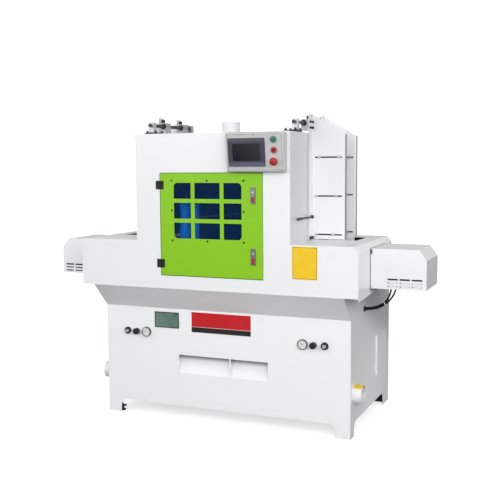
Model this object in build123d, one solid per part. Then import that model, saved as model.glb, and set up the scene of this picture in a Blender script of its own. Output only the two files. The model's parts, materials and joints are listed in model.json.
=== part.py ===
from build123d import *
import os
from math import atan2, cos, degrees, hypot, pi, radians, sin, tan

# All sizes are millimetres. While the pieces are built, x runs along the machine, y runs back from
# the sheet that carries the door, and z runs up from the floor. The finished pieces are then moved
# together so that the machine's front and rear lie equally far from the origin.

# Sheet metal
sheet = 4.0
bend_radius = 3.0

# Base cabinet
base_length = 1488.0
base_front_y = 130.0
base_rear_y = 967.0
flare_z = 640.0
foot_width = 84.0
side_foot_depth = 70.0
rear_foot_depth = 130.0
arch_height = 78.0
arch_radius = 40.0

# Bed on the base
bed_z = 777.0
bed_length = 1636.0
bed_depth = 700.0
bed_height = 264.0
bed_chamfer = 27.0
chip_outlet_length = 600.0
chip_outlet_width = 200.0
chip_outlet_gap = 4.0

# Milling cabinet
cabinet_length = 910.0
cabinet_height = 584.0

# Loading openings in the bed's deck
deck_opening_inset = 19.0
deck_opening_length = 236.0
deck_opening_front_margin = 53.0
deck_opening_rear_margin = 27.0

# Two hand recesses in the base's front
recess_top_z = 377.0
recess_height = 105.0
recess_depth = 75.0
recess_left_x = -270.0
recess_right_x = 276.0
recess_divider_x = 50.0
recess_divider = 8.0

# Dust spigots
spigot_radius = 50.0
spigot_wall = 3.0
spigot_flange = 15.0
spigot_step = 1.5
spigot_fit = 0.5
top_spigot_y = 282.0
top_spigot_height = 66.0
side_spigot_y = 205.0
side_spigot_z = 232.0
side_spigot_length = 50.0

# End covers over the feed motors
cover_length = 296.0
cover_forward = 200.0
cover_depth = 306.0
cover_rise = 26.0
cover_height = 210.0
cover_wall = 3.0
cover_chamfer_length = 41.0
cover_chamfer_drop = 55.0
louvre_length = 52.0
louvre_height = 6.0
louvre_pitch_x = 64.0
louvre_pitch_z = 18.5
louvre_count = 3
louvre_first_x = 120.0
louvre_first_z = 15.0

# Door
door_width = 604.0
door_rise = 75.0
door_height = 559.0
door_thickness = 20.0
door_skin = 3.0
door_round = 2.0
door_gap = 3.0
jamb_depth = 24.0
window_left = 83.0
window_top = 52.0
window_side_width = 104.0
window_middle_width = 150.0
window_row_height = 86.0
window_row_count = 3
window_bar = 22.0
window_radius = 22.0
pane_overlap = 22.0
pane_thickness = 5.0

# Door hinges
hinge_height = 47.0
hinge_leaf = 24.0
hinge_leaf_thickness = 2.5
hinge_knuckle_radius = 4.5
hinge_pin_radius = 2.5
hinge_fit = 0.05
hinge_gap = 0.5
hinge_inset = 41.0
hinge_rise = 0.4
hinge_relief = 8.0

# Door latches
latch_width = 27.0
latch_height = 88.0
latch_thickness = 6.0
latch_edge = 39.0
latch_inset = 74.0
latch_button_width = 17.0
latch_button_height = 27.0
latch_button_proud = 2.0
latch_button_length = 8.0
latch_button_gap = 0.5
latch_button_rise = 8.0
latch_corner = 4.0
latch_bevel = 1.2
latch_button_bevel = 1.0

# Operator's control box
panel_x = 280.0
panel_drop = 107.0
panel_front_y = -52.0
panel_tilt = 7.0
lid_width = 326.0
lid_height = 206.0
lid_thickness = 16.0
lid_wall = 3.0
lid_bevel = 7.0
lid_corner = 10.0
lid_rim = 14.0
box_inset = 5.0
screen_width = 204.0
screen_height = 146.0
screen_thickness = 7.0
screen_u = -43.0
screen_window_width = 154.0
screen_window_height = 88.0
screen_window_depth = 1.5
screen_corner = 3.0
screen_body_inset = 7.0
screen_body_depth = 24.0
button_u = 108.0
start_v = 64.0
stop_v = 10.0
emergency_v = -47.0
button_radius = 11.0
button_proud = 5.0
button_length = 24.0
button_gap = 0.4
button_bevel = 1.5
collar_width = 4.0
collar_height = 4.0
emergency_radius = 20.0
emergency_head = 16.0
emergency_gap = 5.5
emergency_stem_radius = 10.0
emergency_bevel = 6.0

# Air gauges and knobs on the base's front
air_drop = 144.0
gauge_x = 478.0
air_pitch = 62.0
gauge_radius = 28.0
gauge_proud = 13.0
gauge_body_radius = 22.0
gauge_body_depth = 30.0
gauge_dial_depth = 5.0
gauge_rim = 3.0
gauge_bevel = 1.4
knob_gap = 2.0
knob_stem_radius = 5.0
knob_stem_length = 22.0
knob_stem_gap = 0.4
regulator_radius = 18.0
regulator_length = 26.0
regulator_flutes = 8
regulator_flute_radius = 3.2
regulator_flute_circle = 19.6
regulator_bevel = 2.0
valve_radius = 17.5
valve_length = 12.0
valve_grip_length = 14.0
valve_grip_width = 10.0
valve_grip_round = 9.0

# Guide shafts on top of the cabinet
shaft_inset = 25.0
shaft_height = 52.0
shaft_radius = 10.0
shaft_fit = 0.05
shaft_front_y = 122.0
shaft_rear_y = 652.0
support_width = 34.0
support_depth = 30.0
support_crown = 9.0
support_base_width = 72.0
support_base_depth = 88.0
support_base_height = 11.0

# Hopper plates
hopper_sheet = 3.0
hopper_gap = 3.0
hopper_width = 186.0
hopper_front_y = 343.0
hopper_spacing = 215.0
hopper_flange = 66.0
hopper_return = 34.0
hopper_rise = 103.0
hopper_slope_drop = 115.0
hopper_deck_gap = 4.0
hopper_foot_depth = 30.0
hopper_foot_inset = 24.0
hopper_slot_count = 3
hopper_slot_first = 29.0
hopper_slot_pitch = 211.0
hopper_slot_height = 8.0
hopper_slot_margin = 15.0

# Clamps that hold the hopper plates on the shafts
clamp_depth = 60.0
clamp_width = 34.0
clamp_height = 62.0
clamp_crown = 11.0
clamp_round = 6.0
clamp_slit = 3.0
clamp_knob_radius = 11.0
clamp_knob_height = 18.0
clamp_knob_lobes = 5
clamp_knob_bevel = 3.0
clamp_lobe_radius = 5.5
clamp_lobe_circle = 13.75
clamp_knob_gap = 1.0
clamp_stud_radius = 4.0
clamp_stud_depth = 14.0
clamp_stud_gap = 2.0

# Locking levers on the front hopper plates
lever_height = 127.0
lever_stud_setback = 27.0
lever_hub_radius = 9.0
lever_hub_length = 13.0
lever_stud_radius = 4.0
lever_radius = 4.5
lever_length = 232.0
lever_grip_radius = 6.5
lever_grip_length = 60.0
lever_grip_bevel = 1.5
lever_gap = 0.4

# Bed casting with the carriage ways
path_y = 427.0
ways_spacing = 160.0
ways_rib = 50.0
ways_width = 24.0
ways_height = 25.0
ways_rise = 109.0
ways_length = 1500.0
casting_width = 260.0
casting_base = 14.0
bearing_length = 24.0
bearing_inset = 10.0

# Feed screws and motors
screw_rise = 89.0
screw_radius = 12.5
screw_fit = 0.05
screw_inner_x = 6.0
screw_end_depth = 14.0
motor_width = 96.0
motor_length = 180.0
motor_flange = 120.0
motor_flange_thickness = 12.0
motor_boss_radius = 40.0
motor_boss_length = 22.0
motor_boss_fit = 0.5
motor_fins = 6
motor_fin_depth = 4.0
motor_fin_gap = 9.0
motor_box_width = 60.0
motor_box_height = 28.0

# Carriages
carriage_x = 560.0
carriage_length = 220.0
carriage_width = 220.0
carriage_plate = 20.0
shoe_length = 50.0
shoe_gap = 0.5
shoe_wall = 13.0
nut_length = 60.0
nut_width = 52.0
upright_thickness = 15.0
upright_width = 74.0
upright_spacing = 100.0
table_rise = 110.0
table_thickness = 15.0
table_length = 200.0
table_width = 110.0
template_wave = 10.0
stop_height = 12.0
stop_length = 14.0

# Milling spindles
spindle_x = 300.0
spindle_gap = 28.0
head_gap = 21.0
head_radius = 42.0
head_height = 236.0
head_flange = 4.0
head_flange_height = 12.0
head_plate_width = 150.0
head_plate_thickness = 16.0
head_reach = 90.0
head_plate_rise = 120.0
head_plate_height = 218.0
head_neck_width = 64.0
head_neck_drop = 12.0
head_plate_round = 12.0
rod_radius = 10.0
rod_spacing = 100.0
rod_fit = 0.05
rod_length = 158.0
beam_gap = 24.0
beam_size = 80.0
beam_drop = 34.0
beam_wall = 8.0
beam_end = 12.0
spindle_radius = 12.5
spindle_fit = 0.05
spindle_bore = 40.0
cutter_radius = 34.0
cutter_body_radius = 28.0
cutter_height = 42.0
cutter_rise = 3.0
cutter_blades = 4
cutter_blade_width = 7.0
cutter_blade_inset = 2.0
guide_ring_radius = 28.0
guide_ring_height = 14.0
guide_ring_gap = 3.0
spindle_nut_radius = 15.0
spindle_nut_height = 10.0

# Leads of the right-hand feed motor
lead_radius = 5.0
lead_spacing = 11.0
lead_y = 395.0
lead_hole_gap = 3.0
lead_entry_z = 662.0
lead_routes = (
    ((893, 815), (893, 774), (882, 734), (860, 703), (821, 682), (777, 669.8), (732, 667.5)),
    ((921, 815), (920, 776), (904, 734), (876, 699), (838, 674), (797, 660.5), (758, 656.8), (732, 656.5)),
)

# Places worked out from the sizes above
base_half = base_length / 2
bed_half = bed_length / 2
cabinet_half = cabinet_length / 2
deck_z = bed_z + bed_height
floor_top_z = bed_z + sheet
cabinet_top_z = deck_z + cabinet_height
cover_front_y = path_y - cover_forward
cover_bottom_z = bed_z + cover_rise
door_bottom_z = bed_z + door_rise
panel_z = cabinet_top_z - panel_drop
air_z = flare_z - air_drop
regulator_x = gauge_x + air_pitch
valve_x = regulator_x + air_pitch
shaft_x = cabinet_half - shaft_inset
shaft_z = cabinet_top_z + shaft_height
hopper_rear_y = hopper_front_y + hopper_spacing
hopper_top_z = cabinet_top_z + hopper_rise
hopper_outer_top_z = hopper_top_z - hopper_slope_drop
deck_opening_front_y = hopper_front_y - deck_opening_front_margin
deck_opening_rear_y = hopper_rear_y + deck_opening_rear_margin
lever_z = deck_z + lever_height
ways_top_z = floor_top_z + ways_rise
screw_z = floor_top_z + screw_rise
table_z = ways_top_z + table_rise
spindle_y = path_y - table_width / 2 - spindle_gap - cutter_radius
cutter_z = table_z + cutter_rise
head_bottom_z = cutter_z + cutter_height + head_gap
head_plate_y = spindle_y + head_reach
head_plate_bottom_z = head_bottom_z + head_plate_rise
head_plate_top_z = head_plate_bottom_z + head_plate_height
beam_y = head_plate_y + head_plate_thickness + beam_gap
beam_z = head_plate_top_z - beam_drop
overlap = 20.0
pieces = {}


def block(x0, x1, y0, y1, z0, z1):
    """Box between two corners."""
    middle = Pos((x0 + x1) / 2, (y0 + y1) / 2, (z0 + z1) / 2)
    return middle * Box(x1 - x0, y1 - y0, z1 - z0)


def rod_along_x(x0, x1, y, z, radius):
    """Round bar along the machine."""
    return Pos((x0 + x1) / 2, y, z) * Rot(0, 90, 0) * Cylinder(radius, x1 - x0)


def rod_along_y(x, y0, y1, z, radius):
    """Round bar from front to back."""
    return Pos(x, (y0 + y1) / 2, z) * Rot(90, 0, 0) * Cylinder(radius, y1 - y0)


def rod_upright(x, y, z0, z1, radius):
    """Upright round bar."""
    return Pos(x, y, (z0 + z1) / 2) * Cylinder(radius, z1 - z0)


def along_x(outline, x0, x1):
    """Outline of (y, z) points drawn out along the machine."""
    edge = Polyline(*[(x0, y, z) for y, z in outline], close=True)
    return extrude(make_face(edge), amount=x1 - x0, dir=(1, 0, 0))


def along_y(outline, y0, y1):
    """Outline of (x, z) points drawn out from front to back."""
    edge = Polyline(*[(x, y0, z) for x, z in outline], close=True)
    return extrude(make_face(edge), amount=y1 - y0, dir=(0, 1, 0))


def offset_line(points, depth):
    """The same line of runs at the given depth to the left of the points."""
    count = len(points)
    headings = []
    for first, second in zip(points, points[1:]):
        run = hypot(second[0] - first[0], second[1] - first[1])
        headings.append(((second[0] - first[0]) / run, (second[1] - first[1]) / run))
    second_face = []
    for index, point in enumerate(points):
        before = headings[max(index - 1, 0)]
        after = headings[min(index, count - 2)]
        share = depth / (1 + before[0] * after[0] + before[1] * after[1])
        shift_a = -(before[1] + after[1]) * share
        shift_b = (before[0] + after[0]) * share
        second_face.append((point[0] + shift_a, point[1] + shift_b))
    return second_face


def folded(points, depth, place):
    """Section of a sheet folded along the points, its second face at the given depth to their left.

    Each bend has the inner radius on its hollow side; place puts a point of the section in space.
    """
    first_radii = []
    second_radii = []
    for before, corner, after in zip(points, points[1:], points[2:]):
        coming = (corner[0] - before[0], corner[1] - before[1])
        leaving = (after[0] - corner[0], after[1] - corner[1])
        turn = coming[0] * leaving[1] - coming[1] * leaving[0]
        hollow = bend_radius
        crown = bend_radius + abs(depth)
        first_radii.append(crown if turn * depth > 0 else hollow)
        second_radii.append(hollow if turn * depth > 0 else crown)
    first_face = FilletPolyline(*[place(*point) for point in points], radius=first_radii)
    inner_points = [place(*point) for point in offset_line(points, depth)]
    second_face = FilletPolyline(*inner_points, radius=second_radii)
    start = Line(first_face @ 0, second_face @ 0)
    end = Line(first_face @ 1, second_face @ 1)
    return make_face([first_face, end, second_face, start])


def other_side(shape):
    """The same shape on the left of the machine."""
    return mirror(shape, about=Plane.YZ)


def save(name, *shapes):
    """Keep one piece, or a set of like pieces, under its name."""
    pieces[name] = [solid for shape in shapes for solid in shape.solids()]


def write_pieces():
    """Centre the machine from front to rear and write each piece."""
    os.makedirs("parts", exist_ok=True)
    boxes = [solid.bounding_box() for solids in pieces.values() for solid in solids]
    centre_y = -(min(box.min.Y for box in boxes) + max(box.max.Y for box in boxes)) / 2
    for name, solids in pieces.items():
        moved = [Pos(0, centre_y, 0) * solid for solid in solids]
        whole = moved[0] if len(moved) == 1 else Compound(children=moved)
        whole.label = name
        export_step(whole, f"parts/{name}.step")
    print(f"moved by {centre_y:.3f} in y")


def arch_across(half, y0, y1):
    """Cutter for the foot arch of a front or rear panel."""
    low = block(-half, half, y0, y1, -overlap, arch_height - arch_radius)
    crown = block(-half + arch_radius, half - arch_radius, y0, y1, -overlap, arch_height)
    left = rod_along_y(-half + arch_radius, y0, y1, arch_height - arch_radius, arch_radius)
    right = rod_along_y(half - arch_radius, y0, y1, arch_height - arch_radius, arch_radius)
    return low + crown + left + right


def arch_along(y0, y1, x0, x1):
    """Cutter for the foot arch of a side panel."""
    low = block(x0, x1, y0, y1, -overlap, arch_height - arch_radius)
    crown = block(x0, x1, y0 + arch_radius, y1 - arch_radius, -overlap, arch_height)
    front = rod_along_x(x0, x1, y0 + arch_radius, arch_height - arch_radius, arch_radius)
    rear = rod_along_x(x0, x1, y1 - arch_radius, arch_height - arch_radius, arch_radius)
    return low + crown + front + rear


def recess(x0, x1, grow):
    """Wedge of a hand recess, deepest under its top edge; grow adds the sheet round it."""
    top = recess_top_z + grow
    bottom = recess_top_z - recess_height - 2 * grow
    outline = ((base_front_y, bottom), (base_front_y + recess_depth + grow, top), (base_front_y, top))
    return along_x(outline, x0 - grow, x1 + grow)


def build_base():
    """Four panels of the base cabinet."""
    inner_half = base_half - sheet
    fold = ((base_front_y, 0), (base_front_y, flare_z), (0, bed_z))
    section = folded(fold, -sheet, lambda y, z: (-inner_half, y, z))
    front = extrude(section, amount=2 * inner_half, dir=(1, 0, 0))
    front -= block(-base_half, base_half, -overlap, base_front_y, bed_z, bed_z + overlap)
    front -= arch_across(base_half - foot_width, base_front_y - overlap, base_front_y + overlap)
    recesses = (
        (recess_left_x, recess_divider_x - recess_divider / 2),
        (recess_divider_x + recess_divider / 2, recess_right_x),
    )
    for x0, x1 in recesses:
        front += recess(x0, x1, sheet)
    for x0, x1 in recesses:
        front -= recess(x0, x1, 0)
    for side in (-1, 1):
        for x, radius in (
            (gauge_x, gauge_body_radius + knob_stem_gap),
            (regulator_x, knob_stem_radius + knob_stem_gap),
            (valve_x, knob_stem_radius + knob_stem_gap),
        ):
            front -= rod_along_y(side * x, base_front_y - overlap, base_front_y + overlap, air_z, radius)
    save("base_front", front)

    rear = block(-inner_half, inner_half, base_rear_y - sheet, base_rear_y, 0, bed_z)
    rear -= arch_across(base_half - foot_width, base_rear_y - overlap, base_rear_y + overlap)
    save("base_rear", rear)

    outline = (
        (base_front_y, 0),
        (base_front_y, flare_z),
        (0, bed_z),
        (base_rear_y, bed_z),
        (base_rear_y, 0),
    )
    right = along_x(outline, inner_half, base_half)
    right -= arch_along(
        base_front_y + side_foot_depth,
        base_rear_y - rear_foot_depth,
        inner_half - overlap,
        base_half + overlap,
    )
    right -= rod_along_x(
        inner_half - overlap,
        base_half + overlap,
        side_spigot_y,
        side_spigot_z,
        spigot_radius - spigot_step + spigot_fit,
    )
    save("base_left", other_side(right))
    entry = lead_spacing / 2 + lead_radius + lead_hole_gap
    right -= rod_along_x(inner_half - overlap, base_half + overlap, lead_y, lead_entry_z, entry)
    save("base_right", right)


def build_bed():
    """Floor and two folded end shells of the bed."""
    floor = block(-bed_half + sheet, bed_half - sheet, sheet, bed_depth - sheet, bed_z, floor_top_z)
    floor += block(-base_half, base_half, bed_depth - sheet, base_rear_y, bed_z, floor_top_z)
    chip_half = chip_outlet_length / 2
    chip_rear = path_y - casting_width / 2 - chip_outlet_gap
    chip_front = chip_rear - chip_outlet_width
    floor -= block(-chip_half, chip_half, chip_front, chip_rear, bed_z - overlap, floor_top_z + overlap)
    save("bed_floor", floor)

    fold = (
        (bed_half, bed_z),
        (bed_half, deck_z - bed_chamfer),
        (bed_half - bed_chamfer, deck_z),
        (cabinet_half - sheet, deck_z),
    )
    section = folded(fold, sheet, lambda x, z: (x, sheet, z))
    shell = extrude(section, amount=bed_depth - 2 * sheet, dir=(0, 1, 0))
    opening_x = cabinet_half + deck_opening_inset
    shell -= block(
        opening_x,
        opening_x + deck_opening_length,
        deck_opening_front_y,
        deck_opening_rear_y,
        deck_z - overlap,
        deck_z + overlap,
    )
    hole = motor_boss_radius + motor_boss_fit
    shell -= rod_along_x(bed_half - overlap, bed_half + overlap, path_y, screw_z, hole)
    save("right_bed_shell", shell)
    save("left_bed_shell", other_side(shell))


def build_cabinet():
    """Front and rear sheets across bed and cabinet, and the folded hood between them."""
    outline = (
        (-bed_half, bed_z),
        (bed_half, bed_z),
        (bed_half, deck_z - bed_chamfer),
        (bed_half - bed_chamfer, deck_z),
        (cabinet_half, deck_z),
        (cabinet_half, cabinet_top_z),
        (-cabinet_half, cabinet_top_z),
        (-cabinet_half, deck_z),
        (-bed_half + bed_chamfer, deck_z),
        (-bed_half, deck_z - bed_chamfer),
    )
    corner = bend_radius + sheet
    rear = along_y(outline, bed_depth - sheet, bed_depth)
    rear = fillet(rear.edges().filter_by(Axis.Y).group_by(Axis.Z)[-1], corner)
    rear -= block(-bed_half, bed_half, bed_depth - overlap, bed_depth + overlap, bed_z - 1, floor_top_z)
    save("rear_sheet", rear)
    opening_half = door_width / 2 + door_gap
    opening_bottom = door_bottom_z - door_gap
    opening_top = door_bottom_z + door_height + door_gap
    front = along_y(outline, 0, sheet)
    front = fillet(front.edges().filter_by(Axis.Y).group_by(Axis.Z)[-1], corner)
    front += block(
        -opening_half - sheet,
        opening_half + sheet,
        0,
        jamb_depth,
        opening_bottom - sheet,
        opening_top + sheet,
    )
    front -= block(-opening_half, opening_half, -overlap, jamb_depth + overlap, opening_bottom, opening_top)
    save("front_sheet", front)

    fold = (
        (-cabinet_half, deck_z),
        (-cabinet_half, cabinet_top_z),
        (cabinet_half, cabinet_top_z),
        (cabinet_half, deck_z),
    )
    section = folded(fold, -sheet, lambda x, z: (x, sheet, z))
    hood = extrude(section, amount=bed_depth - 2 * sheet, dir=(0, 1, 0))
    hole = spigot_radius - spigot_step + spigot_fit
    hood -= rod_upright(0, top_spigot_y, cabinet_top_z - overlap, cabinet_top_z + overlap, hole)
    save("cabinet_hood", hood)


def spigot(length):
    """Flanged dust spigot standing on the origin, its flange below."""
    tube = Pos(0, 0, length / 2) * Cylinder(spigot_radius, length)
    flange = Pos(0, 0, -sheet - spigot_wall / 2) * Cylinder(spigot_radius + spigot_flange, spigot_wall)
    neck = Pos(0, 0, -sheet / 2) * Cylinder(spigot_radius - spigot_step, sheet)
    bore = Pos(0, 0, length / 2) * Cylinder(spigot_radius - spigot_wall, 2 * length + overlap)
    return tube + neck + flange - bore


def build_spigots():
    """Dust spigots on the cabinet's top and on both sides of the base."""
    top = Pos(0, top_spigot_y, cabinet_top_z) * spigot(top_spigot_height)
    right = Pos(base_half, side_spigot_y, side_spigot_z) * Rot(0, 90, 0) * spigot(side_spigot_length)
    save("dust_spigots", top, right, other_side(right))


def cover_outline(wall):
    """End cover seen from the front, drawn in by its wall."""
    inner = bed_half - (overlap if wall else 0)
    outer = bed_half + cover_length
    top = cover_bottom_z + cover_height
    fold = (
        (inner, cover_bottom_z),
        (outer, cover_bottom_z),
        (outer, top - cover_chamfer_drop),
        (outer - cover_chamfer_length, top),
        (inner, top),
    )
    return offset_line(fold, wall)


def build_end_covers():
    """Hollow covers over the feed motors, with louvres low on their fronts."""
    rear_y = cover_front_y + cover_depth
    cover = along_y(cover_outline(0), cover_front_y, rear_y)
    cover -= along_y(cover_outline(cover_wall), cover_front_y + cover_wall, rear_y - cover_wall)
    for row in range(louvre_count):
        for column in range(louvre_count):
            x = bed_half + louvre_first_x + column * louvre_pitch_x
            z = cover_bottom_z + louvre_first_z + row * louvre_pitch_z
            face = Plane((x, cover_front_y, z), x_dir=(1, 0, 0), z_dir=(0, -1, 0))
            cover -= extrude(face * Rectangle(louvre_length, louvre_height), overlap, both=True)
    save("left_end_cover", other_side(cover))
    for route in lead_routes:
        radius = lead_radius + lead_hole_gap
        cover -= rod_upright(route[0][0], lead_y, cover_bottom_z - overlap, cover_bottom_z + overlap, radius)
    save("right_end_cover", cover)


def build_door():
    """Glazed door with its pane, hinge leaves, latches and push buttons."""
    half = door_width / 2
    top_z = door_bottom_z + door_height
    door = block(-half, half, 0, door_thickness, door_bottom_z, top_z)
    door = fillet(door.faces().sort_by(Axis.Y)[0].edges(), door_round)
    door -= block(
        -half + door_skin,
        half - door_skin,
        door_skin,
        door_thickness + overlap,
        door_bottom_z + door_skin,
        top_z - door_skin,
    )
    glass_width = 2 * window_side_width + window_middle_width + 2 * window_bar
    glass_height = window_row_count * (window_row_height + window_bar) - window_bar
    glass_left = -half + window_left
    glass_top = top_z - window_top
    middle_x = glass_left + glass_width / 2
    middle_z = glass_top - glass_height / 2
    facing = Plane((middle_x, 0, middle_z), x_dir=(1, 0, 0), z_dir=(0, -1, 0))
    windows = extrude(facing * RectangleRounded(glass_width, glass_height, window_radius), overlap, both=True)
    for side in (-1, 1):
        x = middle_x + side * (window_middle_width + window_bar) / 2
        windows -= block(
            x - window_bar / 2,
            x + window_bar / 2,
            -2 * overlap,
            2 * overlap,
            door_bottom_z,
            top_z,
        )
    for row in range(1, window_row_count):
        z = glass_top - row * (window_row_height + window_bar)
        windows -= block(-half, half, -2 * overlap, 2 * overlap, z, z + window_bar)
    door -= windows
    latch_x = half - latch_edge - latch_width / 2
    latch_z = (door_bottom_z + latch_inset + latch_height / 2, top_z - latch_inset - latch_height / 2)
    hole_width = latch_button_width + 2 * latch_button_gap
    hole_height = latch_button_height + 2 * latch_button_gap
    bodies = []
    for name, z in zip(("lower", "upper"), latch_z):
        button_z = z - latch_height / 2 + latch_button_rise + latch_button_height / 2
        hole = block(
            latch_x - hole_width / 2,
            latch_x + hole_width / 2,
            -overlap,
            overlap,
            button_z - hole_height / 2,
            button_z + hole_height / 2,
        )
        door -= hole
        face = Plane((latch_x, 0, z), x_dir=(1, 0, 0), z_dir=(0, -1, 0))
        body = extrude(face * RectangleRounded(latch_width, latch_height, latch_corner), latch_thickness)
        body = chamfer(body.faces().sort_by(Axis.Y)[0].edges(), latch_bevel)
        bodies.append(body - hole)
        button = block(
            latch_x - latch_button_width / 2,
            latch_x + latch_button_width / 2,
            -latch_thickness - latch_button_proud,
            -latch_thickness - latch_button_proud + latch_button_length,
            button_z - latch_button_height / 2,
            button_z + latch_button_height / 2,
        )
        button = chamfer(button.faces().sort_by(Axis.Y)[0].edges(), latch_button_bevel)
        save(f"{name}_latch_button", button)
    save("door", door)
    save("latch_bodies", *bodies)
    pane = block(
        glass_left - pane_overlap,
        glass_left + glass_width + pane_overlap,
        door_skin,
        door_skin + pane_thickness,
        glass_top - glass_height - pane_overlap,
        glass_top + pane_overlap,
    )
    save("door_windows", pane)

    axis_x = -half - door_gap / 2
    axis_y = -hinge_knuckle_radius - hinge_rise
    knuckle = (hinge_height - 2 * hinge_gap) / 3
    fixed_leaves = []
    door_leaves = []
    for z in (door_bottom_z + hinge_inset, top_z - hinge_inset - hinge_height):
        z1 = z + knuckle + hinge_gap
        z2 = z1 + knuckle
        z3 = z2 + hinge_gap
        leaf = block(axis_x - hinge_leaf, axis_x, -hinge_leaf_thickness, 0, z, z + hinge_height)
        leaf -= block(axis_x - hinge_relief, axis_x + overlap, -overlap, overlap, z - 1, z1)
        leaf -= block(axis_x - hinge_relief, axis_x + overlap, -overlap, overlap, z2, z3 + knuckle + 1)
        leaf += rod_upright(axis_x, axis_y, z1, z2, hinge_knuckle_radius)
        leaf += rod_upright(axis_x, axis_y, z, z + hinge_height, hinge_pin_radius)
        fixed_leaves.append(leaf)
        swing = block(axis_x, axis_x + hinge_leaf, -hinge_leaf_thickness, 0, z, z + hinge_height)
        swing -= block(axis_x - overlap, axis_x + hinge_relief, -overlap, overlap, z1 - hinge_gap, z3)
        for low in (z, z3):
            swing += rod_upright(axis_x, axis_y, low, low + knuckle, hinge_knuckle_radius)
        swing -= rod_upright(axis_x, axis_y, z - 1, z + hinge_height + 1, hinge_pin_radius + hinge_fit)
        door_leaves.append(swing)
    save("hinge_frame_leaves", *fixed_leaves)
    save("hinge_door_leaves", *door_leaves)


def panel_plane(u, v, rise):
    """Plane on the leaning control panel: u to the right, v up its face, rise out of it."""
    lean = radians(panel_tilt)
    y = panel_front_y - v * sin(lean) - rise * cos(lean)
    z = panel_z + v * cos(lean) - rise * sin(lean)
    return Plane((panel_x + u, y, z), x_dir=(1, 0, 0), z_dir=(0, -cos(lean), -sin(lean)))


def build_control_box():
    """Control box, bevelled lid, touch screen and the three buttons."""
    lean = radians(panel_tilt)
    half_height = lid_height / 2 - box_inset
    half_width = lid_width / 2 - box_inset
    back_y = panel_front_y + lid_thickness * cos(lean)
    back_z = panel_z + lid_thickness * sin(lean)
    outer = (
        (0, back_z - half_height * cos(lean)),
        (back_y + half_height * sin(lean), back_z - half_height * cos(lean)),
        (back_y - half_height * sin(lean), back_z + half_height * cos(lean)),
        (0, back_z + half_height * cos(lean)),
    )
    inner_height = half_height - lid_wall
    inner = (
        (-lid_wall, back_z - inner_height * cos(lean)),
        (back_y + inner_height * sin(lean) - overlap, back_z - inner_height * cos(lean)),
        (back_y - inner_height * sin(lean) - overlap, back_z + inner_height * cos(lean)),
        (-lid_wall, back_z + inner_height * cos(lean)),
    )
    box = along_x(outer, panel_x - half_width, panel_x + half_width)
    box -= along_x(inner, panel_x - half_width + lid_wall, panel_x + half_width - lid_wall)
    save("control_box", box)

    lid_outline = RectangleRounded(lid_width, lid_height, lid_corner)
    lid = extrude(panel_plane(0, 0, -lid_thickness) * lid_outline, lid_thickness)
    front_face = lid.faces().sort_by(Axis(origin=(0, 0, 0), direction=(0, -cos(lean), -sin(lean))))[-1]
    lid = chamfer(front_face.edges(), lid_bevel)
    hollow = Rectangle(lid_width - 2 * lid_rim, lid_height - 2 * lid_rim)
    lid -= extrude(panel_plane(0, 0, -lid_thickness - lid_wall) * hollow, lid_thickness)
    body_width = screen_width - 2 * screen_body_inset
    body_height = screen_height - 2 * screen_body_inset
    cut_out = Rectangle(body_width + 2 * button_gap, body_height + 2 * button_gap)
    lid -= extrude(panel_plane(screen_u, 0, 0) * cut_out, overlap, both=True)
    holes = ((start_v, button_radius), (stop_v, button_radius), (emergency_v, emergency_stem_radius))
    for v, radius in holes:
        lid += extrude(panel_plane(button_u, v, 0) * Circle(radius + collar_width), collar_height)
        lid -= extrude(panel_plane(button_u, v, 0) * Circle(radius + button_gap), overlap, both=True)
    save("control_lid", lid)

    bezel = RectangleRounded(screen_width, screen_height, screen_corner)
    screen = extrude(panel_plane(screen_u, 0, 0) * bezel, screen_thickness)
    body = Rectangle(body_width, body_height)
    screen += extrude(panel_plane(screen_u, 0, -screen_body_depth) * body, screen_body_depth)
    window = Rectangle(screen_window_width, screen_window_height)
    screen -= extrude(panel_plane(screen_u, 0, screen_thickness - screen_window_depth) * window, overlap)
    save("touch_screen", screen)

    for name, v in (("start_button", start_v), ("stop_button", stop_v)):
        cap_top = collar_height + button_proud
        cap_plane = panel_plane(button_u, v, cap_top - button_length)
        cap = extrude(cap_plane * Circle(button_radius), button_length)
        rim = cap.edges().sort_by(Axis(origin=(0, 0, 0), direction=(0, -cos(lean), -sin(lean))))[-1]
        save(name, chamfer(rim, button_bevel))
    head_low = collar_height + emergency_gap
    head = extrude(panel_plane(button_u, emergency_v, head_low) * Circle(emergency_radius), emergency_head)
    rim = head.edges().sort_by(Axis(origin=(0, 0, 0), direction=(0, -cos(lean), -sin(lean))))[-1]
    head = chamfer(rim, emergency_bevel)
    stem_length = head_low + button_length
    head += extrude(
        panel_plane(button_u, emergency_v, -button_length) * Circle(emergency_stem_radius),
        stem_length,
    )
    save("emergency_stop", head)


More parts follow.
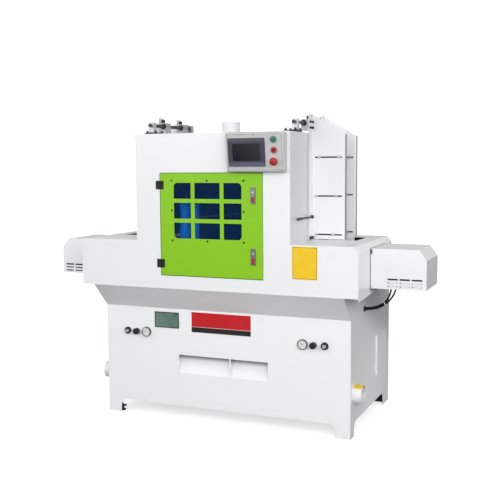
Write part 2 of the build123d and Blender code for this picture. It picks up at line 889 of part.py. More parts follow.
def build_air_controls():
    """Two gauges and four knobs on the base's front."""
    face = base_front_y
    gauge = rod_along_y(gauge_x, face - gauge_proud, face, air_z, gauge_radius)
    gauge = chamfer(gauge.edges().sort_by(Axis.Y)[0], gauge_bevel)
    gauge += rod_along_y(gauge_x, face, face + gauge_body_depth, air_z, gauge_body_radius)
    dial = gauge_radius - gauge_rim
    gauge -= rod_along_y(gauge_x, face - gauge_proud - 1, face - gauge_proud + gauge_dial_depth, air_z, dial)
    save("gauge_cases", other_side(gauge), gauge)

    back = face - knob_gap
    regulator = rod_along_y(regulator_x, back - regulator_length, back, air_z, regulator_radius)
    regulator = chamfer(regulator.edges().sort_by(Axis.Y)[0], regulator_bevel)
    for index in range(regulator_flutes):
        turn = 2 * pi * index / regulator_flutes
        x = regulator_x + regulator_flute_circle * cos(turn)
        z = air_z + regulator_flute_circle * sin(turn)
        regulator -= rod_along_y(x, back - regulator_length - 1, back + 1, z, regulator_flute_radius)
    regulator += rod_along_y(regulator_x, back, back + knob_stem_length, air_z, knob_stem_radius)
    save("right_regulator_knob", regulator)
    save("left_regulator_knob", other_side(regulator))

    valve = rod_along_y(valve_x, back - valve_length, back, air_z, valve_radius)
    grip = block(
        valve_x - valve_grip_width / 2,
        valve_x + valve_grip_width / 2,
        back - valve_length - valve_grip_length,
        back - valve_length,
        air_z - valve_radius,
        air_z + valve_radius,
    )
    grip = fillet(grip.edges().filter_by(Axis.X).group_by(Axis.Y)[0], valve_grip_round)
    valve += grip
    valve += rod_along_y(valve_x, back, back + knob_stem_length, air_z, knob_stem_radius)
    save("right_valve_knob", valve)
    save("left_valve_knob", other_side(valve))


def build_shafts():
    """Guide shafts on the cabinet's top and the pedestals that carry them."""
    shaft = rod_along_y(shaft_x, shaft_front_y, shaft_rear_y, shaft_z, shaft_radius)
    save("guide_shafts", shaft, other_side(shaft))
    supports = []
    for y in (shaft_front_y + support_depth, shaft_rear_y - support_depth):
        outline_width = support_width / 2
        support = block(
            shaft_x - outline_width,
            shaft_x + outline_width,
            y - support_depth / 2,
            y + support_depth / 2,
            cabinet_top_z,
            shaft_z + shaft_radius + support_crown,
        )
        support = fillet(support.edges().filter_by(Axis.Y).group_by(Axis.Z)[-1], support_crown)
        edge = cabinet_half - sheet
        support += block(
            edge - support_base_width,
            edge,
            y - support_base_depth / 2,
            min(y + support_base_depth / 2, bed_depth),
            cabinet_top_z,
            cabinet_top_z + support_base_height,
        )
        support -= rod_along_y(shaft_x, y - overlap, y + overlap, shaft_z, shaft_radius)
        supports.append(support)
    save("shaft_supports", *supports, *[other_side(support) for support in supports])


def hopper_plate(face_y, foot):
    """Right-hand hopper plate, folded at both edges; foot is how far it reaches into the deck opening."""
    inner = cabinet_half + hopper_gap
    outer = inner + hopper_width
    bottom = deck_z + hopper_deck_gap
    back_y = face_y + hopper_sheet
    fold = (
        (inner, back_y - hopper_flange),
        (inner, back_y),
        (outer - hopper_sheet, back_y),
        (outer - hopper_sheet, face_y + hopper_return),
    )
    section = folded(fold, -hopper_sheet, lambda x, y: (x, y, bottom))
    plate = extrude(section, amount=hopper_top_z - bottom, dir=(0, 0, 1))
    slope = (
        (inner, hopper_top_z),
        (outer, hopper_outer_top_z),
        (outer + overlap, hopper_outer_top_z),
        (outer + overlap, hopper_top_z + overlap),
        (inner, hopper_top_z + overlap),
    )
    plate -= along_y(slope, face_y - hopper_flange - overlap, face_y + hopper_return + overlap)
    if foot:
        foot_x = inner + hopper_foot_inset
        foot_end = outer - bend_radius - hopper_sheet
        plate += block(foot_x, foot_end, face_y, back_y, bottom - foot, bottom)
    slot_left = inner + hopper_slot_margin
    slot_right = outer - hopper_slot_margin
    for row in range(hopper_slot_count):
        z = deck_z + hopper_slot_first + row * hopper_slot_pitch
        face = Plane(((slot_left + slot_right) / 2, face_y, z), x_dir=(1, 0, 0), z_dir=(0, -1, 0))
        slot = SlotOverall(slot_right - slot_left, hopper_slot_height)
        plate -= extrude(face * slot, overlap, both=True)
    return plate


def hopper_clamp(face_y):
    """Split clamp that joins a hopper plate's flange to the guide shaft, with its stud hole."""
    inner = cabinet_half + hopper_gap
    middle = face_y + hopper_sheet - hopper_flange / 2
    front = middle - clamp_depth / 2
    rear = middle + clamp_depth / 2
    top = shaft_z + shaft_radius + clamp_crown
    clamp = block(shaft_x - clamp_width / 2, inner, front, rear, top - clamp_height, top)
    clamp = fillet(clamp.edges().filter_by(Axis.Y).group_by(Axis.X)[0], clamp_round)
    clamp -= rod_along_y(shaft_x, front - 1, rear + 1, shaft_z, shaft_radius + shaft_fit)
    clamp -= block(
        shaft_x - clamp_width,
        shaft_x,
        front - 1,
        rear + 1,
        shaft_z - clamp_slit / 2,
        shaft_z + clamp_slit / 2,
    )
    stud_x = shaft_x + shaft_radius + clamp_stud_gap + clamp_stud_radius
    clamp -= rod_upright(stud_x, middle, top - clamp_stud_depth - 1, top + 1, clamp_stud_radius + shaft_fit)
    knob_low = top + clamp_knob_gap
    knob = rod_upright(stud_x, middle, knob_low, knob_low + clamp_knob_height, clamp_knob_radius)
    knob = chamfer(knob.edges().sort_by(Axis.Z)[-1], clamp_knob_bevel)
    for index in range(clamp_knob_lobes):
        turn = 2 * pi * index / clamp_knob_lobes
        x = stud_x + clamp_lobe_circle * cos(turn)
        y = middle + clamp_lobe_circle * sin(turn)
        knob -= rod_upright(x, y, top, top + 2 * clamp_knob_height, clamp_lobe_radius)
    knob += rod_upright(stud_x, middle, top - clamp_stud_depth, knob_low + 1, clamp_stud_radius)
    return clamp, knob


def build_hoppers():
    """Adjustable feed hoppers on both sides of the cabinet."""
    inner = cabinet_half + hopper_gap
    for name, face_y, foot in (("front", hopper_front_y, 0), ("rear", hopper_rear_y, hopper_foot_depth)):
        plate = hopper_plate(face_y, foot)
        if name == "front":
            stud_y = face_y - lever_stud_setback
            hole = lever_stud_radius + shaft_fit
            plate -= rod_along_x(inner - 1, inner + hopper_sheet + 1, stud_y, lever_z, hole)
        clamp, knob = hopper_clamp(face_y)
        save(f"right_{name}_plate", plate)
        save(f"left_{name}_plate", other_side(plate))
        save(f"right_{name}_clamp", clamp)
        save(f"left_{name}_clamp", other_side(clamp))
        save(f"right_{name}_clamp_knob", knob)
        save(f"left_{name}_clamp_knob", other_side(knob))
    stud_y = hopper_front_y - lever_stud_setback
    hub_x = inner + hopper_sheet + lever_gap
    lever = rod_along_x(hub_x, hub_x + lever_hub_length, stud_y, lever_z, lever_hub_radius)
    lever += rod_along_x(inner + lever_gap, hub_x + 1, stud_y, lever_z, lever_stud_radius)
    arm_x = hub_x + lever_hub_length / 2
    lever += rod_along_y(arm_x, stud_y - lever_length, stud_y, lever_z, lever_radius)
    grip_end = stud_y - lever_length
    grip = rod_along_y(arm_x, grip_end, grip_end + lever_grip_length, lever_z, lever_grip_radius)
    lever += chamfer(grip.edges().filter_by(GeomType.CIRCLE), lever_grip_bevel)
    save("right_lever", lever)
    save("left_lever", other_side(lever))


def way_outline(y, base_top):
    """Section of one rib and its way, from the rear foot of the rib over the way to the front foot."""
    rib_top = ways_top_z - ways_height
    rear = [
        (y + ways_rib / 2, base_top),
        (y + ways_rib / 2, rib_top),
        (y + ways_width / 2, rib_top),
        (y + ways_width / 2, ways_top_z),
    ]
    front = [(2 * y - rear_y, z) for rear_y, z in rear[::-1]]
    return rear + front


def build_feed():
    """Bed casting with its ways, carriages, feed screws and motors."""
    half = ways_length / 2
    way_y = (path_y - ways_spacing / 2, path_y + ways_spacing / 2)
    rear_edge = path_y + casting_width / 2
    front_edge = path_y - casting_width / 2
    base_top = floor_top_z + casting_base
    outline = [(front_edge, floor_top_z), (rear_edge, floor_top_z), (rear_edge, base_top)]
    for y in way_y[::-1]:
        outline += way_outline(y, base_top)
    outline.append((front_edge, base_top))
    casting = along_x(outline, -half, half)
    stations = (
        (-bearing_length, bearing_length),
        (half - bearing_inset - bearing_length, half - bearing_inset),
        (-half + bearing_inset, -half + bearing_inset + bearing_length),
    )
    for x0, x1 in stations:
        pedestal = block(x0, x1, path_y - nut_width / 2, path_y + nut_width / 2, floor_top_z, screw_z)
        pedestal += rod_along_x(x0, x1, path_y, screw_z, nut_width / 2)
        casting += pedestal
    casting -= rod_along_x(-half, half, path_y, screw_z, screw_radius + screw_fit)
    save("carriage_bed", casting)

    motor_face = bed_half
    screw_outer_x = motor_face - motor_boss_length + screw_end_depth
    screw = rod_along_x(screw_inner_x, screw_outer_x, path_y, screw_z, screw_radius)
    save("right_screw", screw)
    save("left_screw", other_side(screw))

    motor = block(
        motor_face,
        motor_face + motor_flange_thickness,
        path_y - motor_flange / 2,
        path_y + motor_flange / 2,
        screw_z - motor_flange / 2,
        screw_z + motor_flange / 2,
    )
    motor += rod_along_x(motor_face - motor_boss_length, motor_face, path_y, screw_z, motor_boss_radius)
    body_start = motor_face + motor_flange_thickness
    motor += block(
        body_start,
        body_start + motor_length,
        path_y - motor_width / 2,
        path_y + motor_width / 2,
        screw_z - motor_width / 2,
        screw_z + motor_width / 2,
    )
    for index in range(motor_fins):
        x = body_start + motor_fin_gap * (2 * index + 1)
        motor -= block(
            x,
            x + motor_fin_gap,
            path_y - motor_width,
            path_y - motor_width / 2 + motor_fin_depth,
            screw_z - motor_width,
            screw_z + motor_width,
        )
        motor -= block(
            x,
            x + motor_fin_gap,
            path_y + motor_width / 2 - motor_fin_depth,
            path_y + motor_width,
            screw_z - motor_width,
            screw_z + motor_width,
        )
    motor += block(
        body_start + motor_length - motor_box_width,
        body_start + motor_length,
        path_y - motor_box_width / 2,
        path_y + motor_box_width / 2,
        screw_z + motor_width / 2,
        screw_z + motor_width / 2 + motor_box_height,
    )
    motor -= rod_along_x(
        motor_face - motor_boss_length - 1,
        motor_face - motor_boss_length + screw_end_depth + 1,
        path_y,
        screw_z,
        screw_radius + screw_fit,
    )
    save("drive_motors", motor, other_side(motor))

    half_length = carriage_length / 2
    plate_bottom = ways_top_z + shoe_gap + shoe_wall
    plate_top = plate_bottom + carriage_plate
    carriage = block(
        carriage_x - half_length,
        carriage_x + half_length,
        path_y - carriage_width / 2,
        path_y + carriage_width / 2,
        plate_bottom,
        plate_top,
    )
    for y in way_y:
        for x0 in (carriage_x - half_length, carriage_x + half_length - shoe_length):
            reach = ways_width / 2 + shoe_gap + shoe_wall
            low = ways_top_z - ways_height + shoe_gap
            shoe = block(x0, x0 + shoe_length, y - reach, y + reach, low, plate_bottom)
            groove = ways_width / 2 + shoe_gap
            groove_top = ways_top_z + shoe_gap
            shoe -= block(x0 - 1, x0 + shoe_length + 1, y - groove, y + groove, low - 1, groove_top)
            carriage += shoe
    nut = block(
        carriage_x - nut_length / 2,
        carriage_x + nut_length / 2,
        path_y - nut_width / 2,
        path_y + nut_width / 2,
        screw_z,
        plate_bottom,
    )
    nut += rod_along_x(
        carriage_x - nut_length / 2,
        carriage_x + nut_length / 2,
        path_y,
        screw_z,
        nut_width / 2,
    )
    nut -= rod_along_x(
        carriage_x - nut_length,
        carriage_x + nut_length,
        path_y,
        screw_z,
        screw_radius + screw_fit,
    )
    carriage += nut
    table_bottom = table_z - table_thickness
    half_table = table_length / 2
    for x in (carriage_x - upright_spacing / 2, carriage_x + upright_spacing / 2):
        carriage += block(
            x - upright_thickness / 2,
            x + upright_thickness / 2,
            path_y - upright_width / 2,
            path_y + upright_width / 2,
            plate_top,
            table_bottom,
        )
    front = path_y - table_width / 2
    rear = path_y + table_width / 2
    left = carriage_x - half_table
    right = carriage_x + half_table
    wave = Spline(
        (left, front, table_bottom),
        (left + half_table / 2, front + template_wave, table_bottom),
        (carriage_x, front, table_bottom),
        (right - half_table / 2, front + template_wave, table_bottom),
        (right, front, table_bottom),
        tangents=((1, 0, 0), (1, 0, 0)),
    )
    back = Polyline(
        (right, front, table_bottom),
        (right, rear, table_bottom),
        (left, rear, table_bottom),
        (left, front, table_bottom),
    )
    carriage += extrude(make_face([wave, back]), amount=table_thickness, dir=(0, 0, 1))
    carriage += block(right - stop_length, right, front + template_wave, rear, table_z, table_z + stop_height)
    save("right_carriage", carriage)
    save("left_carriage", other_side(carriage))


def build_spindles():
    """Cross beam, sliding spindle heads and the two milling spindles."""
    inner_half = cabinet_half - sheet
    beam = block(
        -inner_half,
        inner_half,
        beam_y,
        beam_y + beam_size,
        beam_z - beam_size / 2,
        beam_z + beam_size / 2,
    )
    hollow = beam_size / 2 - beam_wall
    beam -= block(
        -inner_half + beam_end,
        inner_half - beam_end,
        beam_y + beam_wall,
        beam_y + beam_size - beam_wall,
        beam_z - hollow,
        beam_z + hollow,
    )
    for side in (-1, 1):
        for offset in (-rod_spacing / 2, rod_spacing / 2):
            x = side * spindle_x + offset
            beam -= rod_along_y(x, beam_y - 1, beam_y + beam_size + 1, beam_z, rod_radius + rod_fit)
    save("spindle_beam", beam)

    head = rod_upright(spindle_x, spindle_y, head_bottom_z, head_bottom_z + head_height, head_radius)
    neck_top = head_bottom_z + head_height
    for low in (head_bottom_z, neck_top - head_flange_height):
        head += rod_upright(spindle_x, spindle_y, low, low + head_flange_height, head_radius + head_flange)
    head += block(
        spindle_x - head_neck_width / 2,
        spindle_x + head_neck_width / 2,
        spindle_y,
        head_plate_y + 1,
        head_plate_bottom_z,
        neck_top - head_neck_drop,
    )
    plate = block(
        spindle_x - head_plate_width / 2,
        spindle_x + head_plate_width / 2,
        head_plate_y,
        head_plate_y + head_plate_thickness,
        head_plate_bottom_z,
        head_plate_top_z,
    )
    head += fillet(plate.edges().filter_by(Axis.Y), head_plate_round)
    for offset in (-rod_spacing / 2, rod_spacing / 2):
        rod_start = head_plate_y + head_plate_thickness - 1
        head += rod_along_y(spindle_x + offset, rod_start, rod_start + rod_length, beam_z, rod_radius)
    bore_top = head_bottom_z + spindle_bore + 1
    head -= rod_upright(spindle_x, spindle_y, head_bottom_z - 1, bore_top, spindle_radius + spindle_fit)
    save("right_spindle_head", head)
    save("left_spindle_head", other_side(head))

    cutter_top = cutter_z + cutter_height
    spindle = rod_upright(spindle_x, spindle_y, cutter_z, head_bottom_z + spindle_bore, spindle_radius)
    spindle += rod_upright(spindle_x, spindle_y, cutter_z, cutter_top, cutter_body_radius)
    for index in range(cutter_blades):
        blade = block(
            0,
            cutter_radius,
            0,
            cutter_blade_width,
            cutter_z + cutter_blade_inset,
            cutter_top - cutter_blade_inset,
        )
        spindle += Pos(spindle_x, spindle_y, 0) * Rot(0, 0, 360 * index / cutter_blades) * blade
    ring_low = cutter_z - guide_ring_gap - guide_ring_height
    nut_low = ring_low - spindle_nut_height
    spindle += rod_upright(spindle_x, spindle_y, nut_low, cutter_z + 1, spindle_nut_radius)
    spindle += rod_upright(spindle_x, spindle_y, ring_low, ring_low + guide_ring_height, guide_ring_radius)
    save("right_spindle", spindle)
    save("left_spindle", other_side(spindle))


def build_leads():
    """Power and encoder leads from the right-hand cover into the base."""
    for name, route in zip(("power_lead", "encoder_lead"), lead_routes):
        points = [(x, lead_y, z) for x, z in route]
        radii = []
        for before, corner, after in zip(route, route[1:], route[2:]):
            run_in = hypot(corner[0] - before[0], corner[1] - before[1])
            run_out = hypot(after[0] - corner[0], after[1] - corner[1])
            heading_in = atan2(corner[1] - before[1], corner[0] - before[0])
            heading_out = atan2(after[1] - corner[1], after[0] - corner[0])
            radii.append(0.45 * min(run_in, run_out) / tan(abs(heading_out - heading_in) / 2))
        centre_line = FilletPolyline(*points, radius=radii)
        length = centre_line.length
        lead = sweep(Plane(points[0], z_dir=(centre_line % 0)) * Circle(lead_radius), path=centre_line)
        share = lead.volume / (pi * lead_radius**2 * length)
        print(f"{name}: length {length:.1f}, least radius {min(radii):.1f}, volume share {share:.4f}")
        save(name, lead)


build_base()
build_bed()
build_cabinet()
build_spigots()
build_end_covers()
build_door()
build_control_box()
build_air_controls()
build_shafts()
build_hoppers()
build_feed()
build_spindles()
build_leads()
write_pieces()
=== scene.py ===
import json
import math

import bmesh
import bpy
import numpy as np
from mathutils import Matrix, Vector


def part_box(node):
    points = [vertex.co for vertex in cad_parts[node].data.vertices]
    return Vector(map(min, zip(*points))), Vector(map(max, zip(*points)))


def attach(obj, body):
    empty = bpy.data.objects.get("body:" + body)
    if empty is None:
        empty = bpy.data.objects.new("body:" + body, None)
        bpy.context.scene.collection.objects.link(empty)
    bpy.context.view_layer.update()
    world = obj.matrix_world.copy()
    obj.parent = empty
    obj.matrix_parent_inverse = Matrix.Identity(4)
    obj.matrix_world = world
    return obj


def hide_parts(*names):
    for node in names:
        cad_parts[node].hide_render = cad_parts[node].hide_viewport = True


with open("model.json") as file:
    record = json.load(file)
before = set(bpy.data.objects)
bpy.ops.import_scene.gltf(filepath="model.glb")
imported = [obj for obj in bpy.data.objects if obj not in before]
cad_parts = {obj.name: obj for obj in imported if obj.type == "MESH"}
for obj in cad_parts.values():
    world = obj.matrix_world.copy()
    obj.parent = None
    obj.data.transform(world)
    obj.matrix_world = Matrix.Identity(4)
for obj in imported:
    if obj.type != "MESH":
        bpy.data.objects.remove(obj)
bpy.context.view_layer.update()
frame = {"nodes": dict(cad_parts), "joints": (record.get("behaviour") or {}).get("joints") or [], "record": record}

scene = bpy.context.scene
nodes = frame["nodes"]
# sizes are in metres; a screw, bolt or rivet is (radius, height), a plate (width, height, corner)
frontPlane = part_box("front_sheet")[0][1]  # depths are counted back from the machine's front sheet
across, back, upward = np.eye(3)
bothSides = (("left", -1), ("right", 1))
letIn = 0.0005  # how deep plates and screw heads are sunk into what they sit on
print("frame loaded:", len(nodes), "nodes")


def spot(x, depth, z):
    return np.array((x, frontPlane + depth, z))


def unit(vector):
    return np.array(vector, float) / np.linalg.norm(vector)


def pick(values, *keys):
    return [values[key] for key in keys]


# Grid surfaces
# A shell is a grid of points; loops close it along its rows or columns, and lids close its first
# and last row.
def shell(points, loopRows=False, loopCols=True, lids=(True, True)):
    return {"points": points, "loopRows": loopRows, "loopCols": loopCols, "lids": lids}


def gridQuads(rows, cols, loopRows, loopCols):
    # each quad joins a point to the next one in its row and to the same two in the next row
    row = np.arange(rows if loopRows else rows - 1)[:, None]
    col = np.arange(cols if loopCols else cols - 1)[None, :]
    nextRow = (row + 1) % rows
    nextCol = (col + 1) % cols
    corners = (row * cols + col, row * cols + nextCol, nextRow * cols + nextCol, nextRow * cols + col)
    return np.stack(np.broadcast_arrays(*corners), axis=-1).reshape(-1, 4)


meshing = {"merge": 1e-6, "sharpAngle": 20}


def makePiece(name, shells, body, slotName, finish=None):
    # all shells in one mesh, on its body; without a finish of its own it takes the slot's
    faces = []
    start = 0
    for part in shells:
        rows, cols = part["points"].shape[:2]
        faces += (gridQuads(rows, cols, part["loopRows"], part["loopCols"]) + start).tolist()
        if part["lids"][0]:
            faces.append(list(range(start + cols - 1, start - 1, -1)))
        if part["lids"][1]:
            faces.append(list(range(start + (rows - 1) * cols, start + rows * cols)))
        start += rows * cols
    points = np.concatenate([part["points"].reshape(-1, 3) for part in shells])
    mesh = bpy.data.meshes.new(name)
    mesh.from_pydata(points.tolist(), [], faces)
    tidy = bmesh.new()
    tidy.from_mesh(mesh)
    bmesh.ops.remove_doubles(tidy, verts=tidy.verts, dist=meshing["merge"])  # closes poles
    bmesh.ops.recalc_face_normals(tidy, faces=tidy.faces)
    tidy.to_mesh(mesh)
    tidy.free()
    mesh.shade_smooth()
    mesh.set_sharp_from_angle(angle=math.radians(meshing["sharpAngle"]))
    mesh.materials.append(finish or slotFinish[slotName])
    piece = bpy.data.objects.new(name, mesh)
    scene.collection.objects.link(piece)
    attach(piece, body)
    return piece


def turned(profile, base, axis, sides=28, hexRows=(), closed=False):
    # base + axis * height + radius * (side cos a + top sin a) for each (radius, height) of the profile;
    # a hex row's radius is cut back to flats, and a closed profile joins its last point to its first
    profile = np.array(profile, float)
    axis = unit(axis)
    side = unit(np.cross(axis, upward if abs(axis[2]) < 0.9 else across))
    top = np.cross(axis, side)
    angle = np.linspace(0, 2 * np.pi, sides, endpoint=False)
    radius = np.repeat(profile[:, :1], sides, axis=1)
    radius[list(hexRows)] *= np.cos(np.pi / 6) / np.cos(angle % (np.pi / 3) - np.pi / 6)
    ring = np.cos(angle)[:, None] * side + np.sin(angle)[:, None] * top
    points = base + profile[:, 1][:, None, None] * axis + radius[..., None] * ring
    lids = (False, False) if closed else (profile[0, 0] > 0, profile[-1, 0] > 0)
    return shell(points, loopRows=closed, lids=lids)


def slab(width, height, corner, profile, centre, right, top, steps=5):
    # rounded rectangle carried outward: each (inset, rise) of the profile is one ring of the grid
    right, top = unit(right), unit(top)
    turn = np.repeat(np.arange(4), steps) * np.pi / 2 + np.tile(np.linspace(0, np.pi / 2, steps), 4)
    signU = np.repeat((1, -1, -1, 1), steps)
    signV = np.repeat((1, 1, -1, -1), steps)
    inset, rise = np.array(profile, float).T[:, :, None]
    radius = np.maximum(corner - inset, 0)
    beyond = np.maximum(inset - corner, 0)
    u = signU * (width / 2 - corner - beyond) + radius * np.cos(turn)
    v = signV * (height / 2 - corner - beyond) + radius * np.sin(turn)
    points = centre + u[..., None] * right + v[..., None] * top + rise[..., None] * np.cross(right, top)
    return shell(points)


def sheetEdge(thickness, soft, sunk=letIn):
    # profile of a thin plate that is let in a little and has a soft outer edge
    return ((0, -sunk), (0, thickness - soft), (soft * 0.3, thickness - soft * 0.3), (soft, thickness))


def capScrew(base, axis, radius, height):
    # cylinder head with a hex socket, from the socket's floor over the rim to the foot
    profile = (
        (0, 0.4 * height), (0.48 * radius, 0.4 * height), (0.5 * radius, height),
        (0.82 * radius, height), (radius, 0.82 * height), (radius, -letIn), (0, -letIn),
    )
    return turned(profile, base, axis, sides=24, hexRows=(1, 2))


def hexBolt(base, axis, radius, height):
    # washer with a hexagon on it, its crown turned down a little
    profile = (
        (0, height), (0.8 * radius, height), (radius, 0.85 * height), (radius, 0.3 * height),
        (1.45 * radius, 0.3 * height), (1.45 * radius, -letIn), (0, -letIn),
    )
    return turned(profile, base, axis, sides=24, hexRows=(1, 2, 3))


def rivet(base, axis, radius, height):
    # low dome: radius and height follow a quarter ellipse
    turn = np.linspace(0, np.pi / 2, 5)
    dome = np.stack((radius * np.sin(turn), height * np.cos(turn)), axis=1)
    return turned(np.concatenate((dome, ((radius, -letIn), (0, -letIn)))), base, axis, sides=24)


def ringBand(strip):
    # a slab whose last ring is joined to its first, so that it is a band with a hole
    return shell(strip["points"], loopRows=True, lids=(False, False))


# Shader expressions
class Wire:
    # a shader socket that can stand in an expression; each operation adds one Math node
    def __init__(self, graph, socket):
        self.maths = graph.maths
        self.socket = socket

    def __add__(self, other):
        return self.maths("ADD", self, other)

    def __sub__(self, other):
        return self.maths("SUBTRACT", self, other)

    def __rsub__(self, other):
        return self.maths("SUBTRACT", other, self)

    def __mul__(self, other):
        return self.maths("MULTIPLY", self, other)

    def __truediv__(self, other):
        return self.maths("DIVIDE", self, other)

    def __gt__(self, other):
        return self.maths("GREATER_THAN", self, other)

    def __lt__(self, other):
        return self.maths("LESS_THAN", self, other)

    def __mod__(self, other):
        return self.maths("FLOORED_MODULO", self, other)

    def __abs__(self):
        return self.maths("ABSOLUTE", self, 0.0)

    __radd__ = __add__


class Graph:
    # the nodes of one tree, added by one method
    def __init__(self, tree):
        self.tree = tree

    def node(self, kind, settings=None, sockets=None, output=0):
        made = self.tree.nodes.new(kind)
        for key, value in (settings or {}).items():
            setattr(made, key, value)
        for key, value in (sockets or {}).items():
            self.feed(made.inputs[key], value)
        return Wire(self, made.outputs[output])

    def feed(self, socket, value):
        if isinstance(value, Wire):
            self.tree.links.new(value.socket, socket)
        else:
            socket.default_value = value

    def maths(self, operation, first, second):
        return self.node("ShaderNodeMath", {"operation": operation}, {0: first, 1: second})

    def axis(self, letter, vector):
        return self.node("ShaderNodeSeparateXYZ", None, {"Vector": vector}, letter)

    def ease(self, value, low, high):
        # 0 below low, 1 above high, a smooth step between
        span = {"Value": value, "From Min": low, "From Max": high}
        return self.node("ShaderNodeMapRange", {"interpolation_type": "SMOOTHSTEP"}, span)

    def mix(self, first, second, share):
        settings = {"data_type": "RGBA", "clamp_factor": True}
        return self.node("ShaderNodeMix", settings, {0: share, 6: first, 7: second}, 2)


class Finish(Graph):
    # one material: fixed values go straight on the shader's sockets, wires carry what varies
    def __init__(self, name, fixed):
        self.material = bpy.data.materials.new(name)
        self.material.use_nodes = True
        super().__init__(self.material.node_tree)
        self.shader = self.tree.nodes["Principled BSDF"]
        self.place = self.node("ShaderNodeTexCoord", output="Object")
        self.x, self.y, self.z = (self.axis(letter, self.place) for letter in "XYZ")
        self.drive(fixed)

    def drive(self, sockets):
        for key, value in sockets.items():
            self.feed(self.shader.inputs[key], value)

    def noise(self, scale, detail=2.0, stretch=(1, 1, 1)):
        vector = self.node("ShaderNodeMapping", None, {"Vector": self.place, "Scale": stretch})
        sockets = {"Vector": vector, "Scale": scale, "Detail": detail}
        return self.node("ShaderNodeTexNoise", None, sockets)

    def bump(self, height, depth, strength=1.0):
        sockets = {"Height": height, "Distance": depth, "Strength": strength}
        self.drive({"Normal": self.node("ShaderNodeBump", None, sockets, "Normal")})

    def within(self, value, low, high):
        return (value > low) * (value < high)

    def distance(self, u, v):
        # how far a point is from where u and v are both 0
        flat = self.node("ShaderNodeCombineXYZ", None, {"X": u, "Y": v})
        return self.node("ShaderNodeVectorMath", {"operation": "LENGTH"}, {0: flat}, "Value")


def tone(red, green, blue):
    # a screen colour as linear light
    screen = np.array((red, green, blue)) / 255
    linear = np.where(screen <= 0.04045, screen / 12.92, ((screen + 0.055) / 1.055) ** 2.4)
    return (*linear.tolist(), 1.0)


def grey(level):
    return (level, level, level, 1.0)


def shade(colour, factor):
    return (*(channel * factor for channel in colour[:3]), 1.0)


# Finishes
paintLook = {
    "cloudScale": 2.6, "cloud": 0.965, "dustHeight": 0.16, "dustScale": 34, "dustFrom": (0.45, 0.75),
    "dusty": 0.8, "rubScale": 7, "rubStretch": (1, 1, 0.35), "rubFrom": (0.55, 0.8),
    "peelScale": 380, "waveScale": 60, "peelDepth": 0.00012,
}


def bakedPaint(name, colour, roughness=0.36, layers=()):
    # orange peel in the surface, a faint cloud in the colour, dust low down, rubbed spots in the gloss;
    # a layer is another colour where its mask says
    finish = Finish(name, {"Specular IOR Level": 0.42, "Coat Weight": 0.12, "Coat Roughness": 0.25})
    cloud = finish.noise(paintLook["cloudScale"], 3)
    low = 1 - finish.ease(finish.z, 0.0, paintLook["dustHeight"])
    dust = low * finish.ease(finish.noise(paintLook["dustScale"], 4), *paintLook["dustFrom"])
    rubbed = finish.noise(paintLook["rubScale"], 4, paintLook["rubStretch"])
    rubbed = finish.ease(rubbed, *paintLook["rubFrom"])
    skin = finish.mix(colour, shade(colour, paintLook["cloud"]), cloud)
    skin = finish.mix(skin, shade(colour, paintLook["dusty"]), dust * 0.5)
    for layer in layers:
        skin = finish.mix(skin, layer["colour"], layer["mask"](finish))
    finish.drive({"Base Color": skin, "Roughness": roughness + rubbed * 0.08 + dust * 0.2})
    peel = finish.noise(paintLook["peelScale"], 1) + finish.noise(paintLook["waveScale"], 2) * 0.5
    finish.bump(peel, paintLook["peelDepth"])
    return finish.material


plasticLook = {
    "pebbleScale": 1500, "pebbled": 0.00008, "polished": 0.00002,
    "wornScale": 26, "wornFrom": (0.5, 0.78), "wornShade": 1.35,
}


def mouldedPlastic(name, colour, roughness=0.42, grain=plasticLook["pebbled"]):
    # pebbled mould texture and slightly polished high spots
    finish = Finish(name, {"Specular IOR Level": 0.4})
    pebble = finish.noise(plasticLook["pebbleScale"], 2)
    worn = finish.ease(finish.noise(plasticLook["wornScale"], 4), *plasticLook["wornFrom"])
    finish.drive({
        "Base Color": finish.mix(colour, shade(colour, plasticLook["wornShade"]), worn * 0.5),
        "Roughness": roughness - worn * 0.1 + pebble * 0.08,
    })
    finish.bump(pebble, grain)
    return finish.material


def glossyPlastic(name, colour, roughness=0.3):
    # the smoother plastic of push buttons
    return mouldedPlastic(name, colour, roughness, plasticLook["polished"])


metalLook = {
    "markScale": 30, "markShade": 0.82, "markDepth": 0.00003,
    "stainScale": 18, "stainFrom": (0.5, 0.8), "stainShade": 0.7,
}
evenly = (1, 1, 1)  # marks that run in no direction


def machinedMetal(name, colour, roughness=0.3, stretch=(40, 1, 40), metallic=1.0):
    # tool marks: noise drawn out along the cut, in tone, gloss and surface
    finish = Finish(name, {"Metallic": metallic, "Specular IOR Level": 0.5})
    marks = finish.noise(metalLook["markScale"], 3, stretch)
    stain = finish.ease(finish.noise(metalLook["stainScale"], 4), *metalLook["stainFrom"])
    stained = finish.mix(colour, shade(colour, metalLook["stainShade"]), stain * 0.4)
    finish.drive({
        "Base Color": finish.mix(shade(colour, metalLook["markShade"]), stained, marks),
        "Roughness": roughness + marks * 0.14 + stain * 0.1,
    })
    finish.bump(marks, metalLook["markDepth"])
    return finish.material


castLook = {
    "sandScale": 240, "sandShade": 0.75, "sandDepth": 0.0004,
    "chipScale": 60, "chipFrom": (0.66, 0.7), "chipShade": 0.5,
}


def castMetal(name, colour, roughness=0.5, gloss=0.4):
    # painted casting: coarse sand texture under the paint
    finish = Finish(name, {"Specular IOR Level": gloss})
    sand = finish.noise(castLook["sandScale"], 3)
    chip = finish.ease(finish.noise(castLook["chipScale"], 5), *castLook["chipFrom"])
    skin = finish.mix(colour, shade(colour, castLook["sandShade"]), sand)
    finish.drive({
        "Base Color": finish.mix(skin, shade(colour, castLook["chipShade"]), chip * 0.6),
        "Roughness": roughness + sand * 0.15,
    })
    finish.bump(sand, castLook["sandDepth"])
    return finish.material


